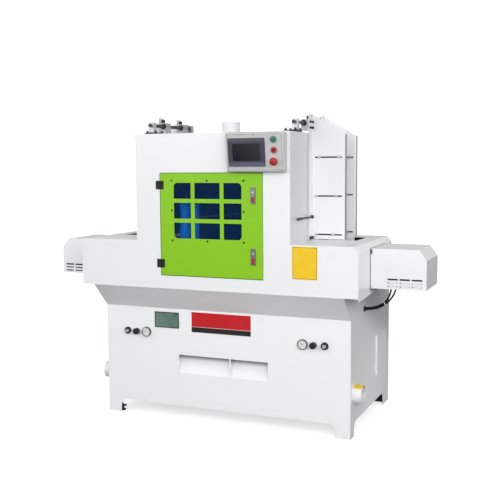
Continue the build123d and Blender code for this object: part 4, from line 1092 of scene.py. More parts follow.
# Control box
panelRight = across
panelUp = np.array((0, -math.sin(panelLean), math.cos(panelLean)))
panelOut = np.cross(panelRight, panelUp)
panelTrim = {
    "screwInset": 0.0135, "screwRadius": 0.0056, "screwHeight": 0.003,
    "screenU": -0.043, "screenRise": 0.0055, "screenSize": (0.1535, 0.0875, 0.001),
    "screenSheet": 0.0007, "screenSoft": 0.0002,
    "buttonU": 0.108, "rings": {"start": 0.064, "stop": 0.010}, "ringRadius": 0.0154,
    "ringSection": (0.0026, 0.0019), "ringRise": 0.0037,
    "lampPlace": (0.046, -0.058, 0.007), "lampSize": (0.0016, 0.0009),
}


def onPanel(u, v, rise):
    origin = spot(panelSizes["x"], panelSizes["depth"], panelSizes["z"])
    return origin + u * panelRight + v * panelUp + rise * panelOut


def screenGlass(name):
    # dark display: a painted sheen from corner to corner, fine pixel rows
    finish = Finish(name, {"Specular IOR Level": 0.5, "Coat Weight": 0.4, "Coat Roughness": 0.05})
    slope = (finish.x - panelSizes["x"]) * 2.0 + (finish.z - panelSizes["z"]) * 2.6
    sheen = finish.ease(slope, -0.36, 0.12)
    rows = finish.ease(finish.noise(900, 1, (0.05, 0.05, 1)), 0.4, 0.6)
    finish.drive({
        "Base Color": finish.mix(tone(24, 23, 29), tone(52, 50, 60), sheen * 0.8 + rows * 0.1),
        "Roughness": 0.12 + rows * 0.05,
    })
    return finish.material


def lidScrews():
    # one in each corner and one in the middle of the upper edge
    inset, radius, height = pick(panelTrim, "screwInset", "screwRadius", "screwHeight")
    u, v = panelSizes["width"] / 2 - inset, panelSizes["height"] / 2 - inset
    places = ((-u, -v), (u, -v), (-u, v), (u, v), (0, v))
    return [capScrew(onPanel(*place, 0), panelOut, radius, height) for place in places]


def buttonRing(v):
    # coloured ring over a collar: an oval carried round the button
    turn = np.linspace(0, 2 * np.pi, 14, endpoint=False)
    wide, high = panelTrim["ringSection"]
    radius = panelTrim["ringRadius"] + wide * np.cos(turn)
    profile = np.stack((radius, panelTrim["ringRise"] + high * np.sin(turn)), axis=1)
    return turned(profile, onPanel(panelTrim["buttonU"], v, 0), panelOut, 36, closed=True)


stopCap = {
    "v": -0.047, "stem": ((0, -0.018), (0.0098, -0.018), (0.0098, 0.0095), (0.0165, 0.0095)),
    "rim": (0.0166, 0.0160), "rimSize": (0.0048, 0.0055), "rimFrom": -0.4,
    "dome": ((0.0105, 0.0243), (0.0055, 0.0252), (0, 0.0255)),
}


def stopMushroom():
    # stem, undercut, rounded rim and low dome of the emergency stop
    turn = np.linspace(stopCap["rimFrom"], np.pi / 2, 9)
    radius, rise = stopCap["rim"]
    wide, high = stopCap["rimSize"]
    rim = np.stack((radius + wide * np.cos(turn), rise + high * np.sin(turn)), axis=1)
    profile = np.concatenate((stopCap["stem"], rim, stopCap["dome"]))
    return turned(profile, onPanel(panelTrim["buttonU"], stopCap["v"], 0), panelOut, 40)


display = slab(*panelTrim["screenSize"], sheetEdge(panelTrim["screenSheet"], panelTrim["screenSoft"]),
               onPanel(panelTrim["screenU"], 0, panelTrim["screenRise"]), panelRight, panelUp)
makePiece("displayGlass", [display], "frame", "screen_black", screenGlass("displayGlass"))
makePiece("lidScrews", lidScrews(), "frame", "latch_metal", brightScrew)
ringFinish = {
    "start": glossyPlastic("ringGreen", tone(58, 130, 104)),
    "stop": glossyPlastic("ringRed", tone(192, 62, 60)),
}
for name, finish in ringFinish.items():
    makePiece(f"{name}Ring", [buttonRing(panelTrim["rings"][name])], "frame", "latch_metal", finish)
lamp = rivet(onPanel(*panelTrim["lampPlace"]), panelOut, *panelTrim["lampSize"])
makePiece("panelLamp", [lamp], "frame", "green_plastic")
mushroomRed = glossyPlastic("mushroomRed", tone(170, 38, 34), 0.34)
mushroom = makePiece("stopMushroom", [stopMushroom()], "emergency_stop", "red_plastic", mushroomRed)
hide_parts("emergency_stop")
print("control box dressed")


# Air gauges
gaugeSizes = {
    "x": 0.478, "z": 0.496, "dialDepth": 0.122, "dialRadius": 0.0245, "dialSheet": (0.0006, 0.0004),
    "glassDepth": 0.1178, "glassGap": 0.0003, "glassRise": 0.0011, "glassSunk": 0.0004,
    "needle": 0.019, "needleWidth": 0.0012, "needleCorner": 0.0005, "needleSheet": (0.0004, 0.0001),
    "needleRise": 0.0012, "needleTurn": {"left": 120, "right": 150}, "hub": (0.0026, 0.0014),
    "hubRise": 0.001, "ticks": 30, "coarse": 5, "sweep": 135, "tickHalf": (1.1, 1.6),
    "fineScale": (0.0188, 0.0213), "coarseScale": (0.0164, 0.0213), "redScale": (0.0216, 0.0229),
    "redFrom": 95,
}


def dialPaint(name):
    # white face: ticks where the angle is near a whole step and the radius is in the scale,
    # and a red end to the scale
    finish = Finish(name, {"Specular IOR Level": 0.3})
    u = abs(finish.x) - gaugeSizes["x"]
    v = finish.z - gaugeSizes["z"]
    far = finish.distance(u, v)
    angle = finish.maths("ARCTAN2", u, v) * (180 / math.pi)
    sweep = gaugeSizes["sweep"]
    step = sweep * 2 / gaugeSizes["ticks"]
    wide = step * gaugeSizes["coarse"]
    fineHalf, coarseHalf = gaugeSizes["tickHalf"]
    fine = abs((angle + step / 2) % step - step / 2) < fineHalf
    coarse = abs((angle + wide / 2) % wide - wide / 2) < coarseHalf
    ticks = fine * finish.within(far, *gaugeSizes["fineScale"])
    ticks = (abs(angle) < sweep) * (ticks + coarse * finish.within(far, *gaugeSizes["coarseScale"]))
    red = finish.within(angle, gaugeSizes["redFrom"], sweep)
    red = red * finish.within(far, *gaugeSizes["redScale"])
    paper = finish.mix(tone(236, 236, 232), tone(222, 222, 216), finish.noise(300, 3))
    paper = finish.mix(paper, tone(190, 40, 34), red)
    face = finish.mix(paper, tone(22, 22, 24), ticks)
    finish.drive({"Base Color": face, "Roughness": 0.5 + ticks * 0.1})
    return finish.material


def gaugeSpot(sign, depth):
    return spot(sign * gaugeSizes["x"], gaugeSizes[depth], gaugeSizes["z"])


def dialShells():
    # flat disc
    radius, (front, rear) = gaugeSizes["dialRadius"], gaugeSizes["dialSheet"]
    profile = ((0, front), (radius, front), (radius, -rear), (0, -rear))
    return [turned(profile, gaugeSpot(sign, "dialDepth"), -back, 40) for sign in (-1, 1)]


def needleShells():
    # flat pointer turned to its gauge's angle, with a hub on it
    length, width, corner = pick(gaugeSizes, "needle", "needleWidth", "needleCorner")
    shells = []
    for side, sign in bothSides:
        base = gaugeSpot(sign, "dialDepth")
        turn = math.radians(gaugeSizes["needleTurn"][side])
        along = math.cos(turn) * across + math.sin(turn) * upward
        middle = base + along * length * 0.32 - back * gaugeSizes["needleRise"]
        edge = sheetEdge(*gaugeSizes["needleSheet"])
        shells.append(slab(width, length, corner, edge, middle, np.cross(along, -back), along, 3))
        shells.append(rivet(base - back * gaugeSizes["hubRise"], -back, *gaugeSizes["hub"]))
    return shells


def glassShells():
    # low dome: its height falls with the square of the radius
    radius, sunk = gaugeSizes["dialRadius"] + gaugeSizes["glassGap"], gaugeSizes["glassSunk"]
    share = np.linspace(0, 1, 6)
    dome = np.stack((share * radius, gaugeSizes["glassRise"] * (1 - share ** 2)), axis=1)
    profile = np.concatenate((dome, ((radius, -sunk), (0, -sunk))))
    return [turned(profile, gaugeSpot(sign, "glassDepth"), -back, 40) for sign in (-1, 1)]


collarSizes = {"inner": 0.0181, "outer": 0.0205, "proud": 0.012, "edge": 0.0015}


def valveCollars():
    # ring on the panel round each shut-off valve, its front edge bevelled
    inner, outer, proud, edge = pick(collarSizes, "inner", "outer", "proud", "edge")
    profile = (
        (inner, -letIn), (inner, proud), (outer - edge, proud), (outer, proud - edge), (outer, -letIn),
    )
    places = [spot(sign * airRow["valveX"], baseFlare["depth"], airRow["z"]) for sign in (-1, 1)]
    return [turned(profile, place, -back, 36, closed=True) for place in places]


makePiece("valveCollars", valveCollars(), "frame", "black_plastic")
makePiece("gaugeDials", dialShells(), "frame", "gauge_metal", dialPaint("dialPaint"))
makePiece("gaugeNeedles", needleShells(), "frame", "black_plastic")
makePiece("gaugeGlasses", glassShells(), "frame", "clear_pane", clearGlass("gaugeGlass"))
print("gauges dressed")


# Bare plates on the front
plateSizes = {
    "thickness": 0.0012, "soft": 0.0005, "corner": 0.002,
    "counter": {
        "x": (-0.423, -0.267), "z": (0.527, 0.619), "depth": 0.130, "thickness": 0.003,
        "row": 0.0184, "rowRule": 0.0007, "column": 0.0195, "columnRule": 0.0010, "margin": 0.012,
        "frame": (0.006, 0.0075),
    },
    "banner": {
        "x": (-0.188, 0.178), "z": (0.513, 0.630), "depth": 0.130, "band": 0.27, "line": 0.0009,
        "margin": 0.0012,
    },
    "notice": {
        "x": (0.466, 0.602), "z": (0.864, 1.034), "depth": 0.0, "line": (0.0035, 0.0050),
        "rivetInset": 0.009, "rivet": (0.003, 0.0014),
    },
}


def plateShell(values):
    (x0, x1), (z0, z1) = values["x"], values["z"]
    profile = sheetEdge(values.get("thickness", plateSizes["thickness"]), plateSizes["soft"])
    centre = spot((x0 + x1) / 2, values["depth"], (z0 + z1) / 2)
    return slab(x1 - x0, z1 - z0, plateSizes["corner"], profile, centre, across, upward)


def edgeDistance(finish, values):
    # distance in from the nearer edge of a plate, across and up
    (x0, x1), (z0, z1) = values["x"], values["z"]
    u = (x1 - x0) / 2 - abs(finish.x - (x0 + x1) / 2)
    v = (z1 - z0) / 2 - abs(finish.z - (z0 + z1) / 2)
    return finish.maths("MINIMUM", u, v)


def counterPaint(name):
    # grey-green window in a dark frame, ruled into plain fields
    values = plateSizes["counter"]
    finish = Finish(name, {"Specular IOR Level": 0.5, "Coat Weight": 0.3})
    edge = edgeDistance(finish, values)
    row, column = values["row"], values["column"]
    rows = abs((finish.z - values["z"][0]) % row - row / 2) < values["rowRule"]
    columns = abs((finish.x - values["x"][0]) % column - column / 2) < values["columnRule"]
    rules = (rows + columns) * (edge > values["margin"])
    window = finish.ease(edge, *values["frame"])
    sheen = finish.ease(finish.noise(11, 3), 0.3, 0.7)
    face = finish.mix(tone(86, 110, 101), tone(114, 137, 124), sheen)
    face = finish.mix(face, tone(58, 82, 75), rules * 0.7)
    face = finish.mix(tone(62, 70, 70), face, window)
    finish.drive({"Base Color": face, "Roughness": 0.25 + sheen * 0.15})
    finish.bump(window, 0.0004, 0.6)
    return finish.material


def bannerPaint(name):
    # red field over a black band, a thin pale line between and a pale margin
    values = plateSizes["banner"]
    finish = Finish(name, {"Specular IOR Level": 0.5, "Coat Weight": 0.25, "Coat Roughness": 0.15})
    seam = values["z"][0] + (values["z"][1] - values["z"][0]) * values["band"]
    fade = finish.noise(13, 4)
    red = finish.mix(tone(190, 14, 24), tone(204, 30, 36), fade)
    dark = finish.mix(tone(26, 22, 24), tone(44, 38, 40), fade)
    face = finish.mix(dark, red, finish.z > seam)
    face = finish.mix(face, tone(238, 232, 230), abs(finish.z - seam) < values["line"])
    face = finish.mix(tone(232, 228, 226), face, edgeDistance(finish, values) > values["margin"])
    finish.drive({"Base Color": face, "Roughness": 0.28 + fade * 0.12})
    return finish.material


def noticePaint(name):
    # plain yellow enamel with a dark line near its edge, rubbed paler in patches
    values = plateSizes["notice"]
    finish = Finish(name, {"Specular IOR Level": 0.45, "Coat Weight": 0.2})
    edge = edgeDistance(finish, values)
    rubbed = finish.ease(finish.noise(24, 4), 0.45, 0.75)
    face = finish.mix(tone(240, 196, 24), tone(244, 208, 70), rubbed * 0.6)
    face = finish.mix(face, tone(60, 48, 14), finish.within(edge, *values["line"]))
    finish.drive({"Base Color": face, "Roughness": 0.34 + rubbed * 0.12})
    return finish.material


def noticeRivets():
    values = plateSizes["notice"]
    inset = values["rivetInset"]
    return [rivet(spot(x, -plateSizes["thickness"], z), -back, *values["rivet"])
            for x in (values["x"][0] + inset, values["x"][1] - inset)
            for z in (values["z"][0] + inset, values["z"][1] - inset)]


for name, slotName, paint in (
    ("counter", "screen_black", counterPaint), ("banner", "red_plastic", bannerPaint),
    ("notice", "white_paint", noticePaint),
):
    makePiece(f"{name}Plate", [plateShell(plateSizes[name])], "frame", slotName, paint(f"{name}Paint"))
makePiece("noticeRivets", noticeRivets(), "frame", "latch_metal", brightScrew)
print("plates fixed")


# Hopper plates and their clamps
hopperTrim = {
    "return": 0.034, "sheet": 0.003, "flange": 0.186,
    "flangeBoltRises": (1.652, 1.683), "flangeBoltInset": (0.013, 0.009), "flangeBolt": (0.0062, 0.009),
    "slotBolt": (0.0062, 0.006), "slotRises": (1.070, 1.281, 1.492),
    "front": (  # slot bolts, across and up
        (0.498, 1.492), (0.610, 1.492), (0.482, 1.281), (0.594, 1.281), (0.482, 1.070), (0.578, 1.070),
    ),
    "rear": (
        (0.605, 1.492), (0.520, 1.492), (0.590, 1.281), (0.512, 1.281), (0.592, 1.070), (0.500, 1.070),
    ),
}


def flangeFace(side, sign, end):
    # outer face of the flange, counted out from the machine's middle
    low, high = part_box(f"{side}_{end}_plate")
    return max(sign * low[0], sign * high[0]) - hopperTrim["flange"] + hopperTrim["sheet"]


def hopperBolts(side, sign, end):
    # bolts through the flange into the clamp
    low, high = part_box(f"{side}_{end}_clamp")
    fromFront, fromRear = hopperTrim["flangeBoltInset"]
    x = sign * flangeFace(side, sign, end)
    return [capScrew(np.array((x, y, z)), sign * across, *hopperTrim["flangeBolt"])
            for y in (low[1] + fromFront, high[1] - fromRear) for z in hopperTrim["flangeBoltRises"]]


shaftRing = {"inner": 0.0108, "outer": 0.0166, "thickness": 0.004, "edge": 0.001, "sunk": 0.0004}


def shaftRings(side, sign, end):
    # black seals round the guide shaft on both faces of the clamp: a ring with a bevelled edge,
    # turned about the shaft
    low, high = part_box(f"{side}_{end}_clamp")
    shaftLow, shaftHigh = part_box("guide_shafts")
    inner, outer, thickness, edge, sunk = pick(shaftRing, "inner", "outer", "thickness", "edge", "sunk")
    profile = (
        (inner, -sunk), (inner, thickness), (outer - edge, thickness), (outer, thickness - edge),
        (outer, -sunk),
    )
    x = sign * (shaftHigh[0] - (shaftHigh[2] - shaftLow[2]) / 2)
    z = (shaftLow[2] + shaftHigh[2]) / 2
    return [turned(profile, np.array((x, y, z)), facing, closed=True)
            for y, facing in ((low[1], -back), (high[1], back))]


def slotBolts(side, sign, end):
    # washered bolts in the slots, on the side that faces the operator
    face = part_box(f"{side}_{end}_plate")[1][1] - hopperTrim["return"]
    return [hexBolt(np.array((sign * x, face, z)), -back, *hopperTrim["slotBolt"])
            for x, z in hopperTrim[end]]


slotBar = {
    "height": 0.020, "corner": 0.003, "thickness": 0.004, "soft": 0.0008, "inset": 0.009, "gap": 0.0002,
}


def slotBars(side, sign, end):
    # flat bars behind the slots, which take the bolts;
    # their dark steel also stands in for the shade in the slots
    low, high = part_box(f"{side}_{end}_plate")
    x = sign * abs(low[0] + high[0]) / 2
    y = high[1] - hopperTrim["return"] + hopperTrim["sheet"] + slotBar["gap"]
    width = high[0] - low[0] - 2 * slotBar["inset"]
    edge = sheetEdge(slotBar["thickness"], slotBar["soft"], 0.0)
    return [slab(width, slotBar["height"], slotBar["corner"], edge, np.array((x, y, z)), -across, upward)
            for z in hopperTrim["slotRises"]]


guideShoe = {
    "length": 0.052, "height": 0.014, "corner": 0.004, "thickness": 0.010, "soft": 0.0015,
    "depth": 0.033, "rise": 0.006, "screw": (0.0042, 0.002), "screwSpread": 0.014,
}


def hopperShoe(side, sign, end):
    # guide shoe at the flange's foot, its edges rounded, with two screws
    height, thickness = guideShoe["height"], guideShoe["thickness"]
    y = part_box(f"{side}_{end}_plate")[0][1] + guideShoe["depth"]
    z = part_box("right_bed_shell")[1][2] + guideShoe["rise"] + height / 2
    base = np.array((sign * flangeFace(side, sign, end), y, z))
    edge = sheetEdge(thickness, guideShoe["soft"])
    block = slab(guideShoe["length"], height, guideShoe["corner"], edge, base, sign * back, upward)
    outer = base + sign * thickness * across
    spread = guideShoe["screwSpread"]
    return [block] + [capScrew(outer + offset * back, sign * across, *guideShoe["screw"])
                      for offset in (-spread, spread)]


# dark steel, partly painted shade for the hopper slots
slotBarShadeSteel = machinedMetal("slotBarShadeSteel", tone(34, 34, 37), 0.5, (20, 1, 1), metallic=0.3)
hopperPieces = (
    ("HopperBolts", hopperBolts, "latch_metal", blackScrew),
    ("ShaftRings", shaftRings, "black_plastic", None),
    ("SlotBolts", slotBolts, "latch_metal", brightScrew),
    ("SlotBars", slotBars, "black_plastic", slotBarShadeSteel),
    ("HopperShoe", hopperShoe, "black_plastic", None),
)
for side, sign in bothSides:
    for end in ("front", "rear"):
        for kind, shells, slotName, finish in hopperPieces:
            name = f"{side}{end.title()}{kind}"
            makePiece(name, shells(side, sign, end), f"{side}_{end}_plate", slotName, finish)


lipSizes = {
    "x": (0.470, 0.714), "ahead": 0.057, "gap": 0.003, "corner": 0.002, "thickness": 0.0012,
    "soft": 0.0004, "sunk": 0.0002,
}


def loadingLip():
    # thin sheet on the right-hand deck that carries the stock up to the front hopper plate
    x0, x1 = lipSizes["x"]
    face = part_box("right_front_plate")[1][1] - hopperTrim["return"]
    y0, y1 = face - lipSizes["ahead"], face - lipSizes["gap"]
    edge = sheetEdge(*pick(lipSizes, "thickness", "soft", "sunk"))
    centre = np.array(((x0 + x1) / 2, (y0 + y1) / 2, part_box("right_bed_shell")[1][2]))
    return slab(x1 - x0, y1 - y0, lipSizes["corner"], edge, centre, across, back)


makePiece("loadingLip", [loadingLip()], "frame", "white_paint")
print("hoppers dressed")


# Guide shaft pedestals
pedestalBolts = {
    "inset": 0.036, "across": 0.027, "along": 0.035, "size": (0.005, 0.011), "centres": (0.152, 0.622),
}


def footBolts():
    # four on each foot plate
    low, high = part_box("shaft_supports")
    top = low[2] + supportFoot["height"]
    plateX = high[0] - pedestalBolts["inset"]
    u, v = pedestalBolts["across"], pedestalBolts["along"]
    corners = ((-u, -v), (-u, v), (u, -v), (u, v))
    return [hexBolt(spot(sign * plateX + beside, depth + ahead, top), upward, *pedestalBolts["size"])
            for sign in (-1, 1) for depth in pedestalBolts["centres"] for beside, ahead in corners]


makePiece("pedestalBolts", footBolts(), "frame", "latch_metal", blackScrew)
print("pedestals bolted down")


# Screws and panels of the covers and the base
def bedSide(low, high, sign):
    # the end of a cover's box that meets the bed
    return low[0] if sign > 0 else high[0]


coverTrim = {"inset": 0.010, "screw": (0.0044, 0.0024)}


def coverScrews(side, sign):
    # two at the rear and one at the front, near the bed
    low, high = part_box(f"{side}_end_cover")
    inset = coverTrim["inset"]
    x = bedSide(low, high, sign) + sign * inset
    bottom, top = low[2] + inset, high[2] - inset
    places = ((low[1], bottom, -back), (high[1], bottom, back), (high[1], top, back))
    return [capScrew(np.array((x, y, z)), facing, *coverTrim["screw"]) for y, z, facing in places]


louvreScreen = {
    "x": (0.938, 1.002, 1.066), "z": 0.8275, "size": (0.043, 0.031, 0.002), "behind": 0.0032,
    "thickness": 0.0015, "soft": 0.0003,
}


def screenShells():
    # plates close behind the lower louvres of the right-hand cover, a little shorter than the slots
    thickness = louvreScreen["thickness"]
    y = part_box("right_end_cover")[0][1] + louvreScreen["behind"] + thickness
    edge = sheetEdge(thickness, louvreScreen["soft"], 0.0)
    return [slab(*louvreScreen["size"], edge, np.array((x, y, louvreScreen["z"])), across, upward)
            for x in louvreScreen["x"]]


servicePanels = {
    "sidePanel": {"centre": (0.744, 0.7815, 0.342), "size": (0.237, 0.240), "right": back, "columns": 2},
    "rearPanel": {"centre": (0.0, 0.967, 0.420), "size": (0.620, 0.420), "right": -across, "columns": 4},
}
panelSheet = {
    "thickness": 0.0009, "soft": 0.0004, "corner": 0.004, "screwInset": 0.014, "screw": (0.0042, 0.0022),
    "seal": ((0, 0), (-0.0018, 0), (-0.0018, 0.0006), (0, 0.0008)),
}


def servicePanel(values):
    # plate with softened edges and screws along its upper and lower edge
    (width, height), right = values["size"], values["right"]
    thickness, inset = panelSheet["thickness"], panelSheet["screwInset"]
    centre = spot(*values["centre"])
    out = np.cross(right, upward)
    edge = sheetEdge(thickness, panelSheet["soft"])
    plate = slab(width, height, panelSheet["corner"], edge, centre, right, upward)
    reach, lift = width / 2 - inset, height / 2 - inset
    screws = [capScrew(centre + u * right + v * upward + thickness * out, out, *panelSheet["screw"])
              for u in np.linspace(-reach, reach, values["columns"]) for v in (-lift, lift)]
    return plate, screws


def panelSeal(values):
    # dark rubber strip round a panel, also standing in for the shadow gap at its edge:
    # a rounded rectangle carried out and back
    centre = spot(*values["centre"])
    corner, profile = panelSheet["corner"], panelSheet["seal"]
    return ringBand(slab(*values["size"], corner, profile, centre, values["right"], upward))


spigotFlap = {
    "x": 0.746, "depth": 0.205, "z": 0.232, "radius": 0.0465, "thickness": 0.002, "boss": 0.008,
}


def flapShells():
    # round flap with a boss that shuts each side spigot
    edge, boss, half = spigotFlap["radius"], spigotFlap["boss"], spigotFlap["thickness"] / 2
    profile = ((0, 4 * half), (boss, 4 * half), (boss, half), (edge, half), (edge, -half), (0, -half))
    x, depth, z = pick(spigotFlap, "x", "depth", "z")
    return [turned(profile, spot(sign * x, depth, z), sign * across, 40) for sign in (-1, 1)]


panelBar = {"depth": 0.659, "z": (0.226, 0.462), "width": 0.008, "proud": 0.008, "soft": 0.003}


def hingeBar():
    # rounded strip along the front edge of the side panel
    low, high = panelBar["z"]
    centre = spot(servicePanels["sidePanel"]["centre"][0], panelBar["depth"], (low + high) / 2)
    soft = panelBar["soft"]
    edge = sheetEdge(panelBar["proud"], soft)
    return slab(panelBar["width"], high - low, soft, edge, centre, back, upward)


coverSeal = {"proud": 0.0014, "width": 0.003, "edge": 0.0002, "corner": 0.002}


def sealBand(side, sign):
    # rubber band round the cover where it meets the bed, also standing in for the shade in the seam:
    # a rounded rectangle carried out and back
    low, high = (np.array(corner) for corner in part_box(f"{side}_end_cover"))
    proud, width, edge = pick(coverSeal, "proud", "width", "edge")
    profile = ((0, 0), (-proud, edge), (-proud, width - edge), (0, width))
    middle = (low + high) / 2
    middle[0] = bedSide(low, high, sign)
    deep, tall = (high - low)[1:]
    return ringBand(slab(deep, tall, coverSeal["corner"], profile, middle, sign * back, upward))


rearMount = {
    "x": 0.6975, "width": 0.084, "depth": (0.885, 0.961), "z": (0.001, 0.0765), "corner": 0.004,
    "bevel": 0.002, "soft": 0.003,
}


def rubberBlock(sign):
    # block inside a rear foot of the base, its lower edge bevelled and its upper edge soft
    (near, far), (low, high) = rearMount["depth"], rearMount["z"]
    bevel = rearMount["bevel"]
    profile = ((bevel, 0), (0, bevel), *sheetEdge(high - low, rearMount["soft"])[1:])
    base = spot(sign * rearMount["x"], (near + far) / 2, low)
    return slab(rearMount["width"], far - near, rearMount["corner"], profile, base, across, back)


frontMount = {
    "x": 0.675, "depth": 0.165, "plate": (0.040, 0.040, 0.003), "plateZ": (0.024, 0.030), "soft": 0.001,
    "studRadius": 0.007, "studHigh": 0.042, "padRadius": 0.020, "padHigh": 0.010,
}


def levellingScrew(sign):
    # pad, stud and nut plate in a front foot
    base = spot(sign * frontMount["x"], frontMount["depth"], 0)
    pad, high = frontMount["padRadius"], frontMount["padHigh"]
    stud, top = frontMount["studRadius"], frontMount["studHigh"]
    profile = (
        (0, 0), (pad, 0), (pad, 0.6 * high), (0.7 * pad, high), (stud, high), (stud, top), (0, top),
    )
    plateLow, plateHigh = frontMount["plateZ"]
    edge = sheetEdge(plateHigh - plateLow, frontMount["soft"], 0.0)
    plate = slab(*frontMount["plate"], edge, base + plateLow * upward, across, back)
    return [turned(profile, base, upward), plate]


def mountShells():
    return [part for sign in (-1, 1) for part in (rubberBlock(sign), *levellingScrew(sign))]


bedHem = {
    "start": 0.002, "length": 0.348, "front": 0.7635, "rear": 0.7775, "flare": 0.004, "sheet": 0.002,
    "root": 0.0015, "proud": 0.0001, "bevel": 0.0003, "steps": 12,
}


def hemShell():
    # sheet edge turned out below the bed's right end: its lower line rises from front to rear
    bedLow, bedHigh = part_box("right_bed_shell")
    depth = np.linspace(bedHem["start"], bedHem["length"], bedHem["steps"])
    low = np.interp(depth, (0, bedHem["length"]), (bedHem["front"], bedHem["rear"]))
    end, root = bedHigh[0], bedLow[2] + bedHem["root"] + 0 * low
    flare, sheet = bedHem["flare"], bedHem["sheet"]
    x = np.array((end - sheet, end + bedHem["proud"], end + flare, end + flare - sheet))
    z = np.stack((root, root, low, low - bedHem["bevel"]), axis=1)
    return shell(np.stack(np.broadcast_arrays(x, frontPlane + depth[:, None], z), axis=-1))


coverClip = {
    "x": (0.8188, 0.850), "length": 0.034, "drop": 0.008, "inset": 0.001, "sunk": 0.0002,
    "corner": 0.002, "soft": 0.001, "catch": (0.010, 0.024), "catchHigh": 0.004, "catchInset": 0.0065,
    "catchDrop": 0.003,
}


def clipShells(side, sign):
    # rubber stop under the cover's inner corner, which also stands in for the shade in the gap there,
    # and a catch on its front face
    low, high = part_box(f"{side}_end_cover")
    x0, x1 = coverClip["x"]
    length, corner, soft = pick(coverClip, "length", "corner", "soft")
    stopEdge = sheetEdge(coverClip["drop"], soft, coverClip["sunk"])
    below = np.array((sign * (x0 + x1) / 2, low[1] + length / 2 + coverClip["inset"], low[2]))
    stop = slab(x1 - x0, length, corner, stopEdge, below, across, -back)
    width, height = coverClip["catch"]
    x = bedSide(low, high, sign) + sign * coverClip["catchInset"]
    ahead = np.array((x, low[1], high[2] - height / 2 - coverClip["catchDrop"]))
    catchEdge = sheetEdge(coverClip["catchHigh"], soft)
    return [stop, slab(width, height, corner, catchEdge, ahead, across, upward)]


makePiece("louvreScreens", screenShells(), "frame", "white_paint")
makePiece("spigotFlaps", flapShells(), "frame", "grey_casting")
makePiece("rearPanelSeal", [panelSeal(servicePanels["rearPanel"])], "frame", "black_plastic")
makePiece("sideHingeBar", [hingeBar()], "frame", "white_paint")
makePiece("footMounts", mountShells(), "frame", "black_plastic")
makePiece("bedHem", [hemShell()], "frame", "white_paint")
clipGrey = mouldedPlastic("clipGrey", tone(92, 92, 95), 0.5)
for side, sign in bothSides:
    makePiece(f"{side}CoverSeal", [sealBand(side, sign)], "frame", "black_plastic")
    makePiece(f"{side}CoverClips", clipShells(side, sign), "frame", "black_plastic", clipGrey)
    makePiece(f"{side}CoverScrews", coverScrews(side, sign), "frame", "latch_metal", brightScrew)
for name, values in servicePanels.items():
    plate, screws = servicePanel(values)
    makePiece(name, [plate], "frame", "white_paint")
    makePiece(f"{name}Screws", screws, "frame", "latch_metal", brightScrew)
print("covers and panels fixed")


# Terminal boxes and cutter guards of the spindle motors, and the blow pipe
terminalBox = {
    "x": 0.231, "width": 0.050, "z": (1.020, 1.234), "thickness": 0.046, "corner": 0.004, "bevel": 0.002,
    "lidInset": 0.006, "lidCorner": 0.003, "lid": 0.003, "lidSoft": 0.001,
    "screwInset": 0.008, "screw": (0.003, 0.002),
}


def terminalShells(sign):
    # box with softened edges on the inner side of the motor, its lid a little smaller, four screws
    low, high = terminalBox["z"]
    width, height = terminalBox["width"], high - low
    centre = spot(sign * terminalBox["x"], cutterGuard["depth"], (low + high) / 2)
    half, bevel, lid = terminalBox["thickness"] / 2, terminalBox["bevel"], terminalBox["lid"]
    edges = ((bevel, half), (0, half - bevel), (0, bevel - half), (bevel, -half))
    inset, lidEdge = terminalBox["lidInset"], sheetEdge(lid, terminalBox["lidSoft"])
    shells = [
        slab(width, height, terminalBox["corner"], edges, centre, -across, upward),
        slab(width - inset, height - inset, terminalBox["lidCorner"], lidEdge, centre - half * back,
             across, upward),
    ]
    reach, lift = width / 2 - terminalBox["screwInset"], height / 2 - terminalBox["screwInset"]
    face = centre - (half + lid) * back
    return shells + [capScrew(face + u * across + v * upward, -back, *terminalBox["screw"])
                     for u in (-reach, reach) for v in (-lift, lift)]


cutterGuard = {
    "x": 0.300, "depth": 0.310, "inner": 0.0405, "outer": 0.0455, "z": (1.018, 1.0662),
    "sweep": (0.96, 2.04), "steps": 21,
}


def guardShell(sign):
    # half ring in front of the cutter: a rectangle carried round the spindle from side to side
    turn = np.pi * np.linspace(*cutterGuard["sweep"], cutterGuard["steps"])
    low, high = cutterGuard["z"]
    inner, outer = cutterGuard["inner"], cutterGuard["outer"]
    section = np.array(((inner, low), (outer, low), (outer, high), (inner, high)))
    around = np.cos(turn)[:, None] * across + np.sin(turn)[:, None] * back
    points = section[None, :, :1] * around[:, None] + section[None, :, 1:] * upward
    return shell(spot(sign * cutterGuard["x"], cutterGuard["depth"], 0) + points)


blowPipe = {
    "from": (0.4515, 0.150, 1.2196), "to": (-0.150, 0.150, 1.1637), "radius": 0.005,
    "flange": 0.004, "shoulder": 0.005, "nozzle": (0.03, 0.029, 0.016),
}


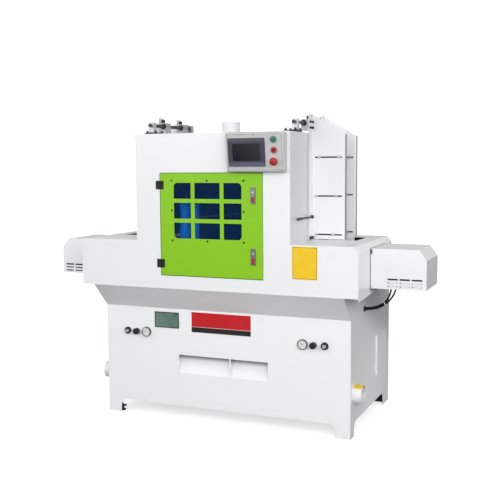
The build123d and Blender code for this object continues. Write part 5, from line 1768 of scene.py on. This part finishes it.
def pipeShell():
    # wall flange, pipe and a nozzle that narrows at its end
    start, end = spot(*blowPipe["from"]), spot(*blowPipe["to"])
    length, radius = np.linalg.norm(end - start), blowPipe["radius"]
    neck, collar, taper = (length - away for away in blowPipe["nozzle"])
    profile = (
        (0, 0), (3 * radius, 0), (3 * radius, blowPipe["flange"]), (radius, blowPipe["shoulder"]),
        (radius, neck), (1.5 * radius, collar), (1.5 * radius, taper), (0.5 * radius, length),
        (0, length),
    )
    return turned(profile, start, end - start, sides=20)


motorBlue = castMetal("motorBlue", headShape["blue"], 0.45, 0.15)
for side, sign in bothSides:
    head = f"{side}_spindle_head"
    makePiece(f"{side}TerminalBox", terminalShells(sign), head, "blue_casting", motorBlue)
    makePiece(f"{side}CutterGuard", [guardShell(sign)], head, "blue_casting", motorBlue)
pipeSteel = machinedMetal("pipeSteel", tone(96, 104, 116), 0.35, (1, 20, 20), metallic=0.5)
makePiece("blowPipe", [pipeShell()], "frame", "bright_steel", pipeSteel)
print("motors dressed")


# Feed screws
threadSizes = {
    "pitch": 0.020, "groove": 0.0042, "depth": 0.0022, "step": 0.002, "sides": 36, "gap": 0.0004,
    "plain": 0.03,
}


def feedScrew(node):
    # radius falls by a half-round groove whose middle moves one pitch along the bar for each turn
    low, high = (np.array(corner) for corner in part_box(node))
    pitch, groove, depth, plain = pick(threadSizes, "pitch", "groove", "depth", "plain")
    radius = (high[2] - low[2]) / 2 - threadSizes["gap"]
    x = np.linspace(low[0], high[0], int((high[0] - low[0]) / threadSizes["step"]))[:, None]
    angle = np.linspace(0, 2 * np.pi, threadSizes["sides"], endpoint=False)[None, :]
    away = ((x / pitch - angle / (2 * np.pi) + 0.5) % 1 - 0.5) * pitch
    cut = depth * np.sqrt(np.maximum(1 - (away / groove) ** 2, 0))
    ends = (x - low[0] < plain) | (high[0] - x < plain)
    reach = radius - np.where(ends, 0, cut)
    middle = (low + high) / 2
    y, z = middle[1] + reach * np.cos(angle), middle[2] + reach * np.sin(angle)
    return shell(np.stack((x + 0 * angle, y, z), axis=-1))


for side in ("left", "right"):
    screw = makePiece(f"{side}FeedScrew", [feedScrew(f"{side}_screw")], f"{side}_screw", "bright_steel")
    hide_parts(f"{side}_screw")
print("feed screws cut")
